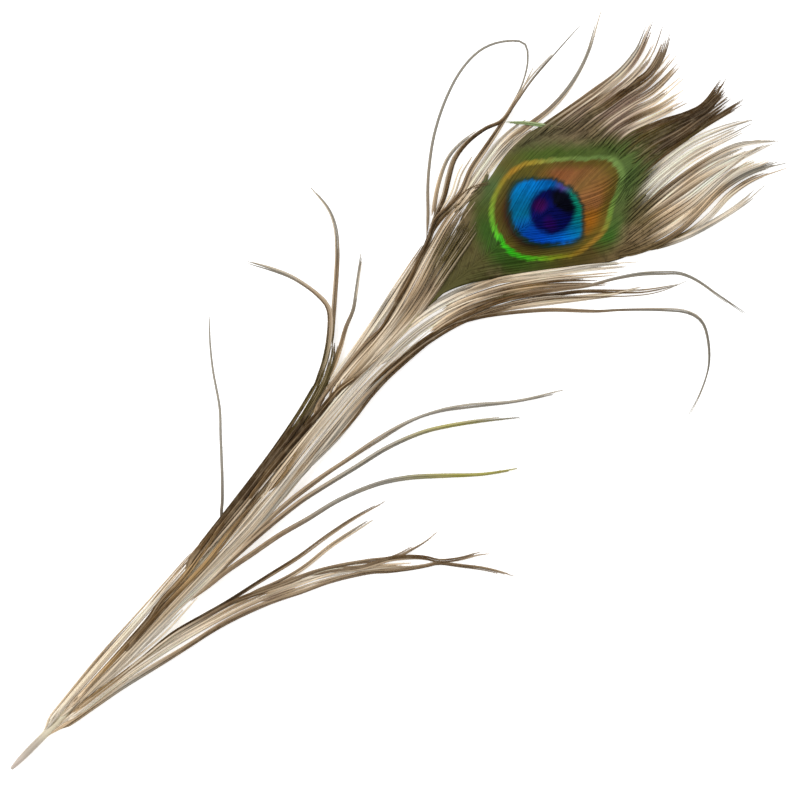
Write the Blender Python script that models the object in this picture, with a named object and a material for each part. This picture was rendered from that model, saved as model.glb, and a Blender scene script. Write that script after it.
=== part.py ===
"""A peacock's tail feather, cut short for the craft table, lying face up.

The feather lies along +X from the tip of its bare quill to the frayed crown past
the eye, and it rests on the plane z = 0. It is a branching piece, so it is parted
at its main forks: the shaft, the woven vane round the eye with its crown, and the
loose barbs of the left (+Y) and the right (-Y) side.

Points are written in millimetres from the tip of the quill, as (along, across).
"""

from typing import NamedTuple

import bmesh
import bpy
import numpy as np
from mathutils import Vector

MM = 0.001  # metres in one millimetre

# ---- driving dimensions, in millimetres ----
ORIGIN = (141.54, -4.38)  # the point of the table under the middle of the feather
GAP = 0.35  # clear space kept between the shaft and the barbs that lie over it
QUILL_RADIUS = 1.25
LOCK_THICKNESS = 0.55  # a lock's half thickness for each unit of its half width
THINNEST = 0.28  # the least half thickness of a lock
BARB_FALL = 9.0  # how far from the shaft the barbs have sunk halfway to the table
CLEAR_OF_TABLE = 0.06  # height of the lowest lock over the table
WEB_THICKNESS = 0.9
WEB_RIM_THICKNESS = 0.55
WEB_ARCH = 1.75  # height of the vane's hollow, which bridges the shaft
WEB_ARCH_REACH = 10.0  # distance from the shaft at which the vane meets the table
STEP_ALONG_LOCK = 4.8  # spacing of the rings along a lock
STEP_ALONG_SHAFT = 11.0

# The middle of the shaft: along, across, height and radius.
SHAFT = (
    (0.0, 0.0, 0.55, 0.30),
    (3.0, 0.05, 0.95, 0.85),
    (7.0, 0.1, 1.27, QUILL_RADIUS),
    (14.0, 0.15, 1.31, QUILL_RADIUS),
    (25.0, 0.3, 1.75, 1.18),
    (50.0, 1.2, 3.3, 1.05),
    (75.0, 2.6, 4.7, 0.92),
    (100.0, 4.6, 5.2, 0.80),
    (125.0, 7.2, 4.5, 0.68),
    (150.0, 9.2, 2.7, 0.56),
    (170.0, 9.6, 1.3, 0.48),
    (190.0, 8.6, 0.75, 0.41),
    (205.0, 6.8, 0.7, 0.36),
    (220.0, 4.2, 0.7, 0.31),
    (240.0, 0.2, 0.7, 0.24),
    (250.0, -2.5, 0.7, 0.20),
)

# The woven vane: its left and its right edge at stations along the feather.
WEB_STATIONS = (181, 185, 190, 197, 205, 213, 222, 228, 232, 236, 240, 245, 249, 252)
WEB_LEFT = (11.6, 14.4, 18.0, 22.2, 24.4, 22.8, 25.2, 25.2, 24.6, 23.2, 22.2, 20.6, 17.5, 13.5)
WEB_RIGHT = (10.2, 7.2, 3.6, -1.6, -7.6, -16.2, -20.6, -21.8, -20.6, -18.6, -14.4, -10.6, -9.2, -8.2)

# The locks of each node: points from root to tip, then the half widths at the root
# and the tip, the most that it rises over its resting place, the height of its tip
# over it, and the share of its length at which the rise is greatest.
class Lock(NamedTuple):
    points: tuple
    widths: tuple
    rise: float = 0.0
    tip: float = 0.0
    peak: float = 0.5


LEFT_LOCKS = {
    "edge": Lock(((19, 1.9), (40, 4.2), (60, 5.5), (75, 6.5), (92, 9)), widths=(0.7, 1.2)),
    "central": Lock(((20, 1.4), (30, 1), (50, 2), (75, 3.2), (88, 5.8), (102, 9)), widths=(0.8, 1.5)),
    "golden": Lock(((56, 3.4), (80, 4), (100, 5.6), (122, 8.2)), widths=(0.8, 1.3)),
    "bundle_upper": Lock(
        ((84, 7.6), (100, 9.4), (115, 11.2), (132, 15), (151, 21.6)),
        widths=(1.5, 1.1), rise=0.5),
    "bundle_middle": Lock(
        ((80, 5.4), (95, 7.2), (110, 9), (127, 12), (147, 18)),
        widths=(1.8, 1.2), rise=0.9),
    "bundle_lower": Lock(
        ((84, 4.4), (100, 6.2), (116, 8.8), (135, 11.2), (158, 12)),
        widths=(1.6, 0.9)),
    "lone_barb": Lock(
        ((92, 8.6), (98, 11.2), (105, 20), (112, 28), (120, 39), (130, 50.5)),
        widths=(0.6, 0.3), rise=4, tip=1, peak=0.5),
    "curl_back": Lock(
        ((138, 16.4), (150, 21.5), (156.2, 27.5), (157, 33), (155, 43), (150, 54)),
        widths=(1, 0.4), rise=5, tip=4, peak=0.6),
    "spray_far": Lock(
        ((147, 19.8), (156.5, 27), (165, 34.5), (173, 42.5), (176.5, 50), (177.5, 56)),
        widths=(0.8, 0.4), rise=3, tip=2, peak=0.65),
    "spray_near": Lock(
        ((143, 17.6), (152, 20.2), (160, 22.5), (168, 28.6), (175, 33.5)),
        widths=(0.8, 0.4), rise=1.5, peak=0.7),
    "flank_dark": Lock(
        ((126, 11.4), (145, 12.4), (163, 14.4), (180, 18.8), (193, 24)),
        widths=(1.1, 0.9)),
    "flank_dotted": Lock(
        ((138, 13.2), (155, 16), (168, 18.8), (180, 21.6), (197, 27)),
        widths=(0.9, 0.8), rise=0.8),
    "flank_inner": Lock(((134, 11), (150, 11.6), (165, 12), (177, 13.6)), widths=(0.9, 0.6)),
    "great_loop": Lock(
        ((184, 21.6), (194, 25.6), (200, 32), (210, 40), (220, 46), (230, 49.5), (237, 50.2),
         (244, 47.6), (248.6, 43), (244, 37.6), (237, 34)),
        widths=(0.7, 0.35), rise=7, tip=1.2, peak=0.55),
    "wave": Lock(
        ((188, 23.4), (196, 26.8), (206, 31.4), (215, 35), (228, 32.6), (243, 34), (264, 35)),
        widths=(0.9, 0.35), rise=2.5, tip=0.8, peak=0.6),
    "wave_under": Lock(
        ((193, 25.2), (203, 27.2), (211, 28), (220, 30.2), (232, 31.6)),
        widths=(0.7, 0.5), rise=0.5),
}

RIGHT_LOCKS = {
    "flank_low": Lock(
        ((19, -1.5), (40, -1.9), (60, -1.7), (80, -2.2), (100, -2), (120, 0.4), (140, 2.6),
         (153, 4), (168, 3.2), (180, -0.4), (190, -4.6), (200, -11.4), (211, -19.8), (220, -30),
         (233, -37.5)),
        widths=(0.8, 0.35), rise=0.6, tip=1, peak=0.8),
    "hooked_curl": Lock(
        ((108, -0.6), (130, 4.6), (150, 6.2), (168, 4.4), (180, 0.8), (190, -5.6), (200, -15),
         (210, -26), (221, -37.2), (227.6, -46), (225, -55.4), (208, -64.5)),
        widths=(0.8, 0.35), rise=7.5, tip=0.8, peak=0.78),
    "pale": Lock(
        ((146, 5.6), (160, 6.8), (171, 7.6), (180, 6), (190, 1.6), (200, -5.6), (208, -13.2),
         (216, -20.8), (225, -26.6), (233, -34), (237, -46), (239.5, -55)),
        widths=(0.8, 0.35), rise=4, tip=2, peak=0.72),
    "stray_a": Lock(
        ((84, -1.9), (105, -1.2), (130, -5.5), (150, -10.5), (160, -15.5), (174, -26.6),
         (187, -35)),
        widths=(0.8, 0.35), rise=0.8, tip=0.6, peak=0.7),
    "stray_b": Lock(
        ((74, -2.2), (100, -3.4), (120, -6), (140, -11), (152, -16), (164, -25), (173, -31.5)),
        widths=(0.8, 0.45), rise=1.2, tip=0.4, peak=0.7),
    "stray_c": Lock(
        ((66, -2.2), (90, -5), (110, -9.5), (127, -14.5), (142, -25), (153, -34.4), (162, -41)),
        widths=(0.8, 0.45), rise=2, tip=0.3, peak=0.65),
    "upper_stray": Lock(
        ((19, -1.7), (40, -3.4), (62, -6), (76, -9.4), (95, -14.2), (112, -17.2), (129, -21)),
        widths=(0.8, 0.4), tip=0.6),
    "upper_stray_twin": Lock(
        ((84, -12.2), (97, -17.2), (110, -19.4), (123, -22.5)),
        widths=(0.8, 0.4), rise=0.3, tip=0.2),
    "base_fan": Lock(((21, -2), (40, -4.8), (60, -8.4), (80, -13.2), (96, -20.4)), widths=(0.7, 1.1)),
    "lower_stray_fork": Lock(
        ((64, -8.2), (78, -11.6), (92, -17.6), (107, -25), (120, -35), (132, -39)),
        widths=(0.9, 0.4), rise=0.6, tip=0.8, peak=0.6),
    "lower_stray": Lock(
        ((19, -2), (40, -6), (62, -11.4), (80, -16), (97, -24), (113, -33), (128, -45.4),
         (135, -53), (139, -62)),
        widths=(0.8, 0.35), tip=0.2),
    "lower_stray_twin": Lock(
        ((100, -25), (113, -31.4), (124, -41), (138, -51.5)),
        widths=(0.9, 0.35), rise=1, tip=1.2),
}

CROWN_LOCKS = {
    "edge_wave": Lock(
        ((203, 23.2), (212, 22.6), (222, 25.6), (238, 24.5), (250, 25), (260, 28), (271, 34)),
        widths=(1.2, 0.35), rise=0.4, tip=1.5),
    "green_crossing": Lock(
        ((238, 20), (234.6, 24.6), (231.6, 28.4)),
        widths=(1, 0.35), rise=0.8, tip=0.8),
    "upper_1": Lock(
        ((230, 23), (242, 21.2), (255, 19.4), (266, 18.6), (277, 19.4)),
        widths=(1.5, 0.5), rise=0.8, tip=1.6),
    "upper_2": Lock(
        ((240, 19.6), (252, 18), (264, 19), (277, 22.8)),
        widths=(1.3, 0.35), rise=1.2, tip=2),
    "upper_3": Lock(
        ((240, 17), (252, 15.6), (264, 14.8), (279, 18.2)),
        widths=(1.6, 0.45), rise=1.5, tip=2.6),
    "upper_4": Lock(
        ((242, 14.6), (252, 14), (265, 11.8), (273, 12.4), (279.5, 15.4)),
        widths=(1.6, 0.5), rise=0.8, tip=1.2),
    "upper_5": Lock(
        ((243, 12), (254, 11), (266, 9.8), (276, 9.2)),
        widths=(1.5, 0.4), rise=0.5, tip=0.8),
    "upper_6": Lock(
        ((243, 10), (252, 9.4), (262, 6.8), (276, 6)),
        widths=(1.5, 0.4), rise=0.3, tip=0.4),
    "upper_7": Lock(
        ((244, 7), (252, 7.4), (260, 4.2), (271, 1.2)),
        widths=(1.4, 0.4), rise=0.2, tip=0.2),
    "middle_1": Lock(
        ((242, 4), (251, 4.2), (260, 0.4), (270, -3.8), (281.5, -3.4)),
        widths=(1.6, 0.6), rise=1, tip=2.4),
    "middle_2": Lock(
        ((242, 1), (252, 0.2), (262, -3.4), (273, -6.6), (283, -4.6)),
        widths=(1.8, 0.5), rise=1.6, tip=3.2),
    "middle_3": Lock(
        ((242, -2), (253, -3.4), (264, -6.2), (279, -7.4)),
        widths=(1.8, 0.6), rise=1.2, tip=2),
    "middle_4": Lock(
        ((241, -5), (253, -6.6), (266, -9.6), (281.5, -11.8)),
        widths=(1.7, 0.6), rise=0.6, tip=1),
    "middle_5": Lock(
        ((240, -8), (252, -8.4), (262, -9.4), (271, -14), (280, -18.5)),
        widths=(1.3, 0.35), rise=0.2, tip=0.6),
    "right_1": Lock(
        ((233, -15), (248, -15.2), (262, -17.2), (272, -21), (281, -29)),
        widths=(1.4, 0.35), rise=0.8, tip=1.2),
    "right_2": Lock(
        ((232, -17), (246, -18.4), (258, -21), (268, -24.6), (279, -27.4)),
        widths=(1.5, 0.4), rise=1.2, tip=2),
    "right_3": Lock(
        ((230, -18), (244, -22), (256, -25), (270, -25.6)),
        widths=(1.5, 0.4), rise=0.8, tip=1.6),
    "right_4": Lock(
        ((226, -18.6), (238, -23.8), (250, -27.8), (264, -29.4), (278, -36)),
        widths=(1.5, 0.4), rise=1, tip=0.8),
    "right_5": Lock(
        ((226, -19.6), (240, -26.8), (252, -32), (268, -33.8)),
        widths=(1.3, 0.35), rise=0.3, tip=0.3),
    "right_6": Lock(
        ((236, -13), (250, -12.8), (262, -14.6), (275, -20.4)),
        widths=(1.2, 0.35), rise=0.4, tip=0.8),
}

# Base colour (linear) and roughness of each node.
COLOURS = {
    "shaft": ((0.56, 0.46, 0.32), 0.45),
    "eye_vane": ((0.10, 0.12, 0.02), 0.55),
    "left_barbs": ((0.15, 0.09, 0.035), 0.6),
    "right_barbs": ((0.19, 0.12, 0.055), 0.6),
}


# ---- helpers ----
def clear_scene():
    for old in list(bpy.data.objects):
        bpy.data.objects.remove(old, do_unlink=True)


def collection(name):
    made = bpy.data.collections.new(name)
    bpy.context.scene.collection.children.link(made)
    return made


def resample(points, spacing):
    """Points at even steps along a Catmull-Rom curve through the given points."""
    p = np.array(points, dtype=float)
    p = np.vstack([2 * p[0] - p[1], p, 2 * p[-1] - p[-2]])
    t = np.linspace(0, 1, 16, endpoint=False)[:, None]
    spans = []
    for a, b, c, d in zip(p[:-3], p[1:-2], p[2:-1], p[3:]):
        spans.append(
            0.5 * (2 * b + (c - a) * t + (2 * a - 5 * b + 4 * c - d) * t**2
                   + (3 * b - a - 3 * c + d) * t**3)
        )
    curve = np.vstack(spans + [p[-2][None]])
    along = np.concatenate([[0], np.cumsum(np.linalg.norm(np.diff(curve, axis=0), axis=1))])
    steps = np.linspace(0, along[-1], max(4, int(round(along[-1] / spacing)) + 1))
    return np.stack([np.interp(steps, along, curve[:, k]) for k in range(curve.shape[1])], axis=1)


SHAFT_LINE = resample(SHAFT, 2.0)


def shaft_at(along):
    """Across, height and radius of the shaft at places along the feather."""
    return [np.interp(along, SHAFT_LINE[:, 0], SHAFT_LINE[:, k]) for k in (1, 2, 3)]


def smoothstep(value):
    clipped = np.clip(value, 0, 1)
    return clipped * clipped * (3 - 2 * clipped)


def barb_height(along, across, half_width, half_thickness):
    """Height at which a barb lies: over the shaft, and sinking to the table beside it."""
    shaft_across, shaft_height, shaft_radius = shaft_at(along)
    beside = np.abs(across - shaft_across)
    sunk = shaft_height / (1 + (beside / BARB_FALL) ** 2)
    touching = shaft_radius + GAP + half_width
    over = smoothstep((touching + 3.0 - beside) / 3.0) * (shaft_radius + GAP + half_thickness)
    return np.maximum(sunk + over, half_thickness + CLEAR_OF_TABLE)


def to_metres(points):
    """Feather millimetres to metres from the origin of the part."""
    return (np.asarray(points) - np.array([*ORIGIN, 0.0])) * MM


def poly_curve(name, points, radii, home):
    """A curve object of one POLY spline, with a radius at each point."""
    data = bpy.data.curves.new(name, "CURVE")
    data.dimensions = "3D"
    data.twist_mode = "Z_UP"
    data.use_fill_caps = True
    spline = data.splines.new("POLY")
    spline.points.add(len(points) - 1)
    for dot, place, radius in zip(spline.points, to_metres(points), radii):
        dot.co = (*place, 1.0)
        dot.radius = float(radius)
    made = bpy.data.objects.new(name, data)
    home.objects.link(made)
    return made


def as_mesh(curve, home):
    """The curve's evaluated mesh as a new object, its caps welded; the curve goes."""
    bpy.context.view_layer.update()
    graph = bpy.context.evaluated_depsgraph_get()
    mesh = bpy.data.meshes.new_from_object(curve.evaluated_get(graph))
    form = bmesh.new()
    form.from_mesh(mesh)
    bmesh.ops.remove_doubles(form, verts=form.verts, dist=1e-6)
    bmesh.ops.recalc_face_normals(form, faces=form.faces)
    form.to_mesh(mesh)
    form.free()
    name, place = curve.name, curve.matrix_world.copy()
    bpy.data.objects.remove(curve, do_unlink=True)
    made = bpy.data.objects.new(name, mesh)
    made.matrix_world = place
    home.objects.link(made)
    return made


def lens_profile(home):
    """The flat four-sided section that every lock is swept with, one millimetre wide
    each way and LOCK_THICKNESS high each way."""
    data = bpy.data.curves.new("lock_profile", "CURVE")
    data.dimensions = "2D"
    spline = data.splines.new("POLY")
    corners = ((-1, 0.0), (0.12, -LOCK_THICKNESS), (1, 0.0), (-0.12, LOCK_THICKNESS))
    spline.points.add(len(corners) - 1)
    for dot, (x, y) in zip(spline.points, corners):
        dot.co = (x * MM, y * MM, 0.0, 1.0)
    spline.use_cyclic_u = True
    made = bpy.data.objects.new("lock_profile", data)
    made.hide_render = True
    made.display_type = "WIRE"
    home.objects.link(made)
    return made


def lock(name, shape, profile, home):
    """One lock: a flat tapering strand through its points, from root to tip."""
    root_width, tip_width = shape.widths
    line = resample(shape.points, STEP_ALONG_LOCK)
    s = np.linspace(0, 1, len(line))
    swell = 0.25 * root_width * np.sin(np.pi * s) ** 2
    width = root_width + (tip_width - root_width) * s**1.2 + swell
    thickness = np.maximum(width * LOCK_THICKNESS, THINNEST)
    height = barb_height(line[:, 0], line[:, 1], width, thickness)
    bend = s ** (np.log(0.5) / np.log(shape.peak))
    height = height + shape.rise * np.sin(np.pi * bend) ** 2 + shape.tip * s**3
    curve = poly_curve(name, np.column_stack([line, height]), width, home)
    curve.data.bevel_mode = "OBJECT"
    curve.data.bevel_object = profile
    return as_mesh(curve, home)


def union(target, others, home):
    """Fuses the other solids into the target, one after another."""
    for other in others:
        joint = target.modifiers.new("fuse_" + other.name, "BOOLEAN")
        joint.operation = "UNION"
        joint.solver = "EXACT"
        joint.object = other
    bpy.context.view_layer.update()
    graph = bpy.context.evaluated_depsgraph_get()
    mesh = bpy.data.meshes.new_from_object(target.evaluated_get(graph))
    form = bmesh.new()
    form.from_mesh(mesh)
    bmesh.ops.dissolve_degenerate(form, edges=form.edges, dist=1e-5)
    bmesh.ops.triangulate(form, faces=form.faces)
    form.to_mesh(mesh)
    form.free()
    target.modifiers.clear()
    target.data = mesh
    for other in others:
        bpy.data.objects.remove(other, do_unlink=True)
    home.objects.link(target)


def finish(made, name):
    """Gives a solid its node's name and its own material."""
    made.name = name
    made.data.name = name
    colour, roughness = COLOURS[name]
    material = bpy.data.materials.new(name)
    material.use_nodes = True
    shader = material.node_tree.nodes["Principled BSDF"]
    shader.inputs["Base Color"].default_value = (*colour, 1.0)
    shader.inputs["Roughness"].default_value = roughness
    shader.inputs["Metallic"].default_value = 0.0
    made.data.materials.clear()
    made.data.materials.append(material)


# ---- the pieces ----
def make_shaft(parts):
    """The quill and the shaft that it runs into, one long taper."""
    line = resample(SHAFT, STEP_ALONG_SHAFT)
    line = np.vstack([SHAFT[0], SHAFT[1], line[line[:, 0] > 5.0]])
    curve = poly_curve("shaft", line[:, :3], line[:, 3] / QUILL_RADIUS, parts)
    curve.data.bevel_depth = QUILL_RADIUS * MM
    curve.data.bevel_resolution = 2
    finish(curve_to_node(curve, parts), "shaft")


def curve_to_node(curve, parts):
    made = as_mesh(curve, parts)
    for face in made.data.polygons:
        face.use_smooth = True
    return made


def make_web(home):
    """The woven vane: a thin sheet that bridges the shaft and lies flat at its sides."""
    along = resample([(x, 0.0) for x in WEB_STATIONS], 3.6)[:, 0]
    left = np.interp(along, WEB_STATIONS, WEB_LEFT)
    right = np.interp(along, WEB_STATIONS, WEB_RIGHT)
    across_steps = np.linspace(0, 1, 13)
    y = left[:, None] + (right - left)[:, None] * across_steps
    x = np.broadcast_to(along[:, None], y.shape)
    beside = np.clip(np.abs(y - shaft_at(along)[0][:, None]) / WEB_ARCH_REACH, 0, 1)
    under = WEB_ARCH * (1 - beside**2) ** 2
    rim = smoothstep(np.minimum(across_steps, 1 - across_steps) * 5.0)
    thick = WEB_RIM_THICKNESS + (WEB_THICKNESS - WEB_RIM_THICKNESS) * rim
    form = bmesh.new()
    sheets = []
    for z in (under, under + thick):
        places = to_metres(np.stack([x, y, z], axis=-1))
        sheets.append([[form.verts.new(Vector(p)) for p in row] for row in places])
    lower, upper = sheets
    rows, columns = y.shape
    for i in range(rows - 1):
        for j in range(columns - 1):
            form.faces.new((upper[i][j], upper[i + 1][j], upper[i + 1][j + 1], upper[i][j + 1]))
            form.faces.new((lower[i][j], lower[i][j + 1], lower[i + 1][j + 1], lower[i + 1][j]))
    border = [(i, 0) for i in range(rows)] + [(rows - 1, j) for j in range(1, columns)]
    border += [(i, columns - 1) for i in range(rows - 2, -1, -1)]
    border += [(0, j) for j in range(columns - 2, 0, -1)]
    for (i, j), (k, m) in zip(border, border[1:] + border[:1]):
        form.faces.new((upper[i][j], lower[i][j], lower[k][m], upper[k][m]))
    bmesh.ops.recalc_face_normals(form, faces=form.faces)
    mesh = bpy.data.meshes.new("web")
    form.to_mesh(mesh)
    form.free()
    made = bpy.data.objects.new("web", mesh)
    home.objects.link(made)
    return made


def make_locks(table, profile, home):
    return [lock(name, shape, profile, home) for name, shape in table.items()]


def make_barbs(name, table, profile, parts, cutters):
    """The loose barbs of one side, fused where they lie together at their roots."""
    target, *others = make_locks(table, profile, cutters)
    union(target, others, parts)
    cutters.objects.unlink(target)
    finish(target, name)


def make_eye_vane(profile, parts, cutters):
    """The woven vane round the eye, with the crown's tufts fused to its far edge."""
    web = make_web(cutters)
    union(web, make_locks(CROWN_LOCKS, profile, cutters), parts)
    cutters.objects.unlink(web)
    finish(web, "eye_vane")


def main():
    clear_scene()
    parts = collection("peacock_feather")
    cutters = collection("cutters")
    profile = lens_profile(cutters)
    make_shaft(parts)
    make_eye_vane(profile, parts, cutters)
    make_barbs("left_barbs", LEFT_LOCKS, profile, parts, cutters)
    make_barbs("right_barbs", RIGHT_LOCKS, profile, parts, cutters)


main()
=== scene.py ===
# %% [markdown]
# # A peacock's tail feather
#
# This lesson dresses a plain solid model of one short peacock feather, which lies face up
# on a table. The feather has a bare quill, a shaft, loose barbs on both sides, a woven eye
# with its rings of blue, bronze and green, and a frayed crown. Every shape below is worked
# out with numpy as whole arrays, and every colour comes from shader nodes.

# %% Load the frame
import math
from dataclasses import dataclass

import bpy
import numpy as np
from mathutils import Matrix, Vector


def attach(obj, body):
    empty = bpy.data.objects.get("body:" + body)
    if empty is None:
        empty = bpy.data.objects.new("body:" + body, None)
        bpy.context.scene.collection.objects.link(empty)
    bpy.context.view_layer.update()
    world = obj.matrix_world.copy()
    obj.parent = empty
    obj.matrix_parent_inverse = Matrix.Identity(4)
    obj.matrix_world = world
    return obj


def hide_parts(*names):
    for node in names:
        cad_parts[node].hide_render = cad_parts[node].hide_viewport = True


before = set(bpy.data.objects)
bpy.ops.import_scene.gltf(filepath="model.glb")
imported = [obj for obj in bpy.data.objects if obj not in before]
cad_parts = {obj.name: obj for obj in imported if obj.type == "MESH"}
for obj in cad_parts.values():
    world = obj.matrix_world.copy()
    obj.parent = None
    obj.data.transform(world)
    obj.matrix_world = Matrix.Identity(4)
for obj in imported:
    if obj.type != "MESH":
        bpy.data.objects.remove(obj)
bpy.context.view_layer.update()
print("solids:", ", ".join(sorted(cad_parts)))

# %% [markdown]
# ## The feather's own ruler
#
# The feather was measured in millimetres from the tip of its quill: first along the shaft,
# then across, to the left. The model's origin lies under the middle of the feather, so one
# small function turns the first kind of place into the second. All random draws come from
# one seeded generator, so the feather is the same each time.

# %% Units, origin and random draws
MM = 0.001
ORIGIN = np.array([141.54, -4.38, 0.0])  # the origin of the model, on the feather's ruler
draw = np.random.default_rng(31)


def to_metres(points):
    """Feather millimetres to metres in the model: take the origin away, then scale."""
    return (np.asarray(points, float) - ORIGIN) * MM


print("tip of the quill, in metres:", to_metres((0, 0, 0)))

# %% [markdown]
# ## Camera
#
# The photograph looks straight down on the feather, which runs from the lower left corner
# to the upper right one. So the camera hangs over the middle of the picture and is turned
# by an eighth of a turn. Its distance follows from the width of the table in the picture
# and the focal length. The lens is a long one, because a short lens close by would make the
# raised barbs lean outwards.

# %% Camera
VIEW_CENTRE = (153.3, -3.1, 0.0)  # feather millimetres in the middle of the picture
VIEW_WIDTH = 228.0  # millimetres of table across the picture
LENS, SENSOR = 85.0, 36.0
VIEW_TURN = math.radians(-45)

camera_data = bpy.data.cameras.new("camera")
camera_data.lens = LENS
camera_data.sensor_width = SENSOR
camera = bpy.data.objects.new("camera", camera_data)
bpy.context.scene.collection.objects.link(camera)
view_height = VIEW_WIDTH * LENS / SENSOR
camera.location = Vector(to_metres(VIEW_CENTRE)) + Vector((0, 0, view_height * MM))
camera.rotation_euler = (0, 0, VIEW_TURN)
bpy.context.scene.camera = camera
print("camera height, in millimetres:", round(view_height))

# %% [markdown]
# ## Floor and light
#
# The feather lies on white and has hardly any shadow, as on a light table. A single lamp
# would darken one side of every barb. So the floor glows a little of itself, a bright sky
# fills the shade, and two soft lamps leave just enough of it to round the barbs.

# %% Floor
FLOOR_SIZE = 6.0  # metres
FLOOR_DROP = 0.0001  # metres from the table's height down to the floor


def fresh_material(name, values):
    """A new material, its tree and its shader, with plain values on the shader's sockets."""
    made = bpy.data.materials.new(name)
    made.use_nodes = True
    shader = made.node_tree.nodes["Principled BSDF"]
    for socket, value in values.items():
        shader.inputs[socket].default_value = value
    return made, made.node_tree, shader


floor_white, _, _ = fresh_material("floor_white", {
    "Base Color": (0.9, 0.9, 0.9, 1), "Roughness": 0.9,
    "Emission Color": (1, 1, 1, 1), "Emission Strength": 0.5})
bpy.ops.mesh.primitive_plane_add(size=FLOOR_SIZE, location=(0, 0, -FLOOR_DROP))
floor = bpy.context.object
floor.name = "floor"
floor.data.materials.append(floor_white)
print("floor, in metres:", FLOOR_SIZE)

# %% Light
LAMPS = {  # place and size in metres, and watts
    "key": ((-0.35, 0.75, 1.1), 0.9, 12),
    "fill": ((0.9, -0.7, 1.0), 1.2, 6),
}
SKY_STRENGTH = 0.48

for name, (place, size, watts) in LAMPS.items():
    lamp_data = bpy.data.lights.new(name, "AREA")
    lamp_data.size = size
    lamp_data.energy = watts
    lamp = bpy.data.objects.new(name, lamp_data)
    lamp.location = place
    lamp.rotation_euler = (-Vector(place)).to_track_quat("-Z", "Y").to_euler()
    bpy.context.scene.collection.objects.link(lamp)

sky = bpy.data.worlds.new("sky")
sky.use_nodes = True
background = sky.node_tree.nodes["Background"]
background.inputs["Color"].default_value = (1, 1, 1, 1)
background.inputs["Strength"].default_value = SKY_STRENGTH
bpy.context.scene.world = sky
bpy.context.scene.view_settings.view_transform = "Standard"
print("lamps:", ", ".join(LAMPS))

# %% [markdown]
# ## Smooth lines
#
# A barb is a springy hair, so its line has no corners. It could be a Bezier curve with
# handles, but a few listed points are easier to read and to mend. A Catmull-Rom
# curve passes smoothly through all of them. The curve is then read at even steps, which
# keeps the hooks on a barb evenly spaced later.

# %% Curves through points
SPAN_STEPS = 24  # readings between two points of a curve, before the even steps


def distances(lines):
    """How far each step of an array of lines lies from its root, along the line."""
    steps = np.linalg.norm(np.diff(lines, axis=1), axis=2)
    return np.concatenate([np.zeros((len(lines), 1)), np.cumsum(steps, axis=1)], 1)


def smooth_line(points, count):
    """A curve through the points, read at `count` even steps.

    Each span between two points is the cubic that leaves and arrives along the line
    between the neighbours on either side."""
    p = np.array(points, float)
    p = np.vstack([2 * p[0] - p[1], p, 2 * p[-1] - p[-2]])
    a, b, c, d = (p[k: len(p) - 3 + k, None] for k in range(4))
    t = np.linspace(0, 1, SPAN_STEPS, endpoint=False)[None, :, None]
    spans = 0.5 * (2 * b + (c - a) * t + (2 * a - 5 * b + 4 * c - d) * t**2
                   + (3 * b - a - 3 * c + d) * t**3)
    line = np.vstack([spans.reshape(-1, p.shape[1]), p[-2][None]])
    along = distances(line[None])[0]
    steps = np.linspace(0, along[-1], count)
    return np.stack([np.interp(steps, along, column) for column in line.T], 1)


def smoothstep(value):
    """0 below 0, 1 above 1, and a soft ramp between."""
    clipped = np.clip(value, 0, 1)
    return clipped * clipped * (3 - 2 * clipped)


print("a curve over a corner:", smooth_line(((0, 0), (10, 5), (20, 0)), 5).round(1).tolist())

# %% [markdown]
# ## The shaft's course
#
# The shaft is the feather's spine: a stiff quill at the root, a hair past the eye. It rests
# on its quill and on the table under the eye, and arches a few millimetres between them. A
# table of stations holds such a course best, because a barb can then ask for the shaft's
# place, height and radius anywhere along it.

# %% The shaft's line
QUILL_RADIUS = 1.02
SHAFT = (  # along, across, height and radius, in millimetres
    (0.0, 0.0, 0.62, 0.45), (3.0, 0.05, 0.9, 0.85), (7.0, 0.1, 1.06, QUILL_RADIUS),
    (14.0, 0.15, 1.12, QUILL_RADIUS), (25.0, 0.3, 1.65, 1.05), (50.0, 1.2, 3.3, 1.0),
    (75.0, 2.6, 4.7, 0.92), (100.0, 4.6, 5.2, 0.80), (125.0, 7.2, 4.5, 0.68),
    (150.0, 9.2, 2.7, 0.56), (170.0, 9.6, 1.3, 0.48), (190.0, 8.6, 0.75, 0.41),
    (205.0, 6.8, 0.7, 0.36), (220.0, 4.2, 0.7, 0.31), (240.0, 0.2, 0.7, 0.24),
    (250.0, -2.5, 0.7, 0.20),
)
shaft_line = smooth_line(SHAFT, 160)


def shaft_at(along):
    """Across, height and radius of the shaft at places along the feather."""
    return [np.interp(along, shaft_line[:, 0], shaft_line[:, k]) for k in (1, 2, 3)]


print("shaft, in millimetres:", round(distances(shaft_line[None, :, :3])[0, -1]))

# %% [markdown]
# ## From arrays to meshes
#
# The shaft and the barbs are long closed strands. A curve object with a bevel makes one such
# strand, but the feather has hundreds, and a loop over so many would be slow. So a family of
# lines is one array of lines by steps by coordinates, and a section is carried along all of
# them at once: a ring of corners stands on each step, square to the line.

# %% Sections carried along lines
def directions(lines):
    """Unit vectors along, beside and up at each step of an array of lines."""
    along = np.gradient(lines, axis=1)
    along /= np.linalg.norm(along, axis=2, keepdims=True) + 1e-12
    beside = np.cross((0.0, 0.0, 1.0), along)
    beside /= np.linalg.norm(beside, axis=2, keepdims=True) + 1e-12
    return along, beside, np.cross(along, beside)


def fan(ring):
    """Triangles from a ring's first corner to all its other sides."""
    first = np.broadcast_to(ring[:, :1], ring[:, 2:].shape)
    return np.stack([first, ring[:, 1:-1], ring[:, 2:]], -1)


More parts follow.
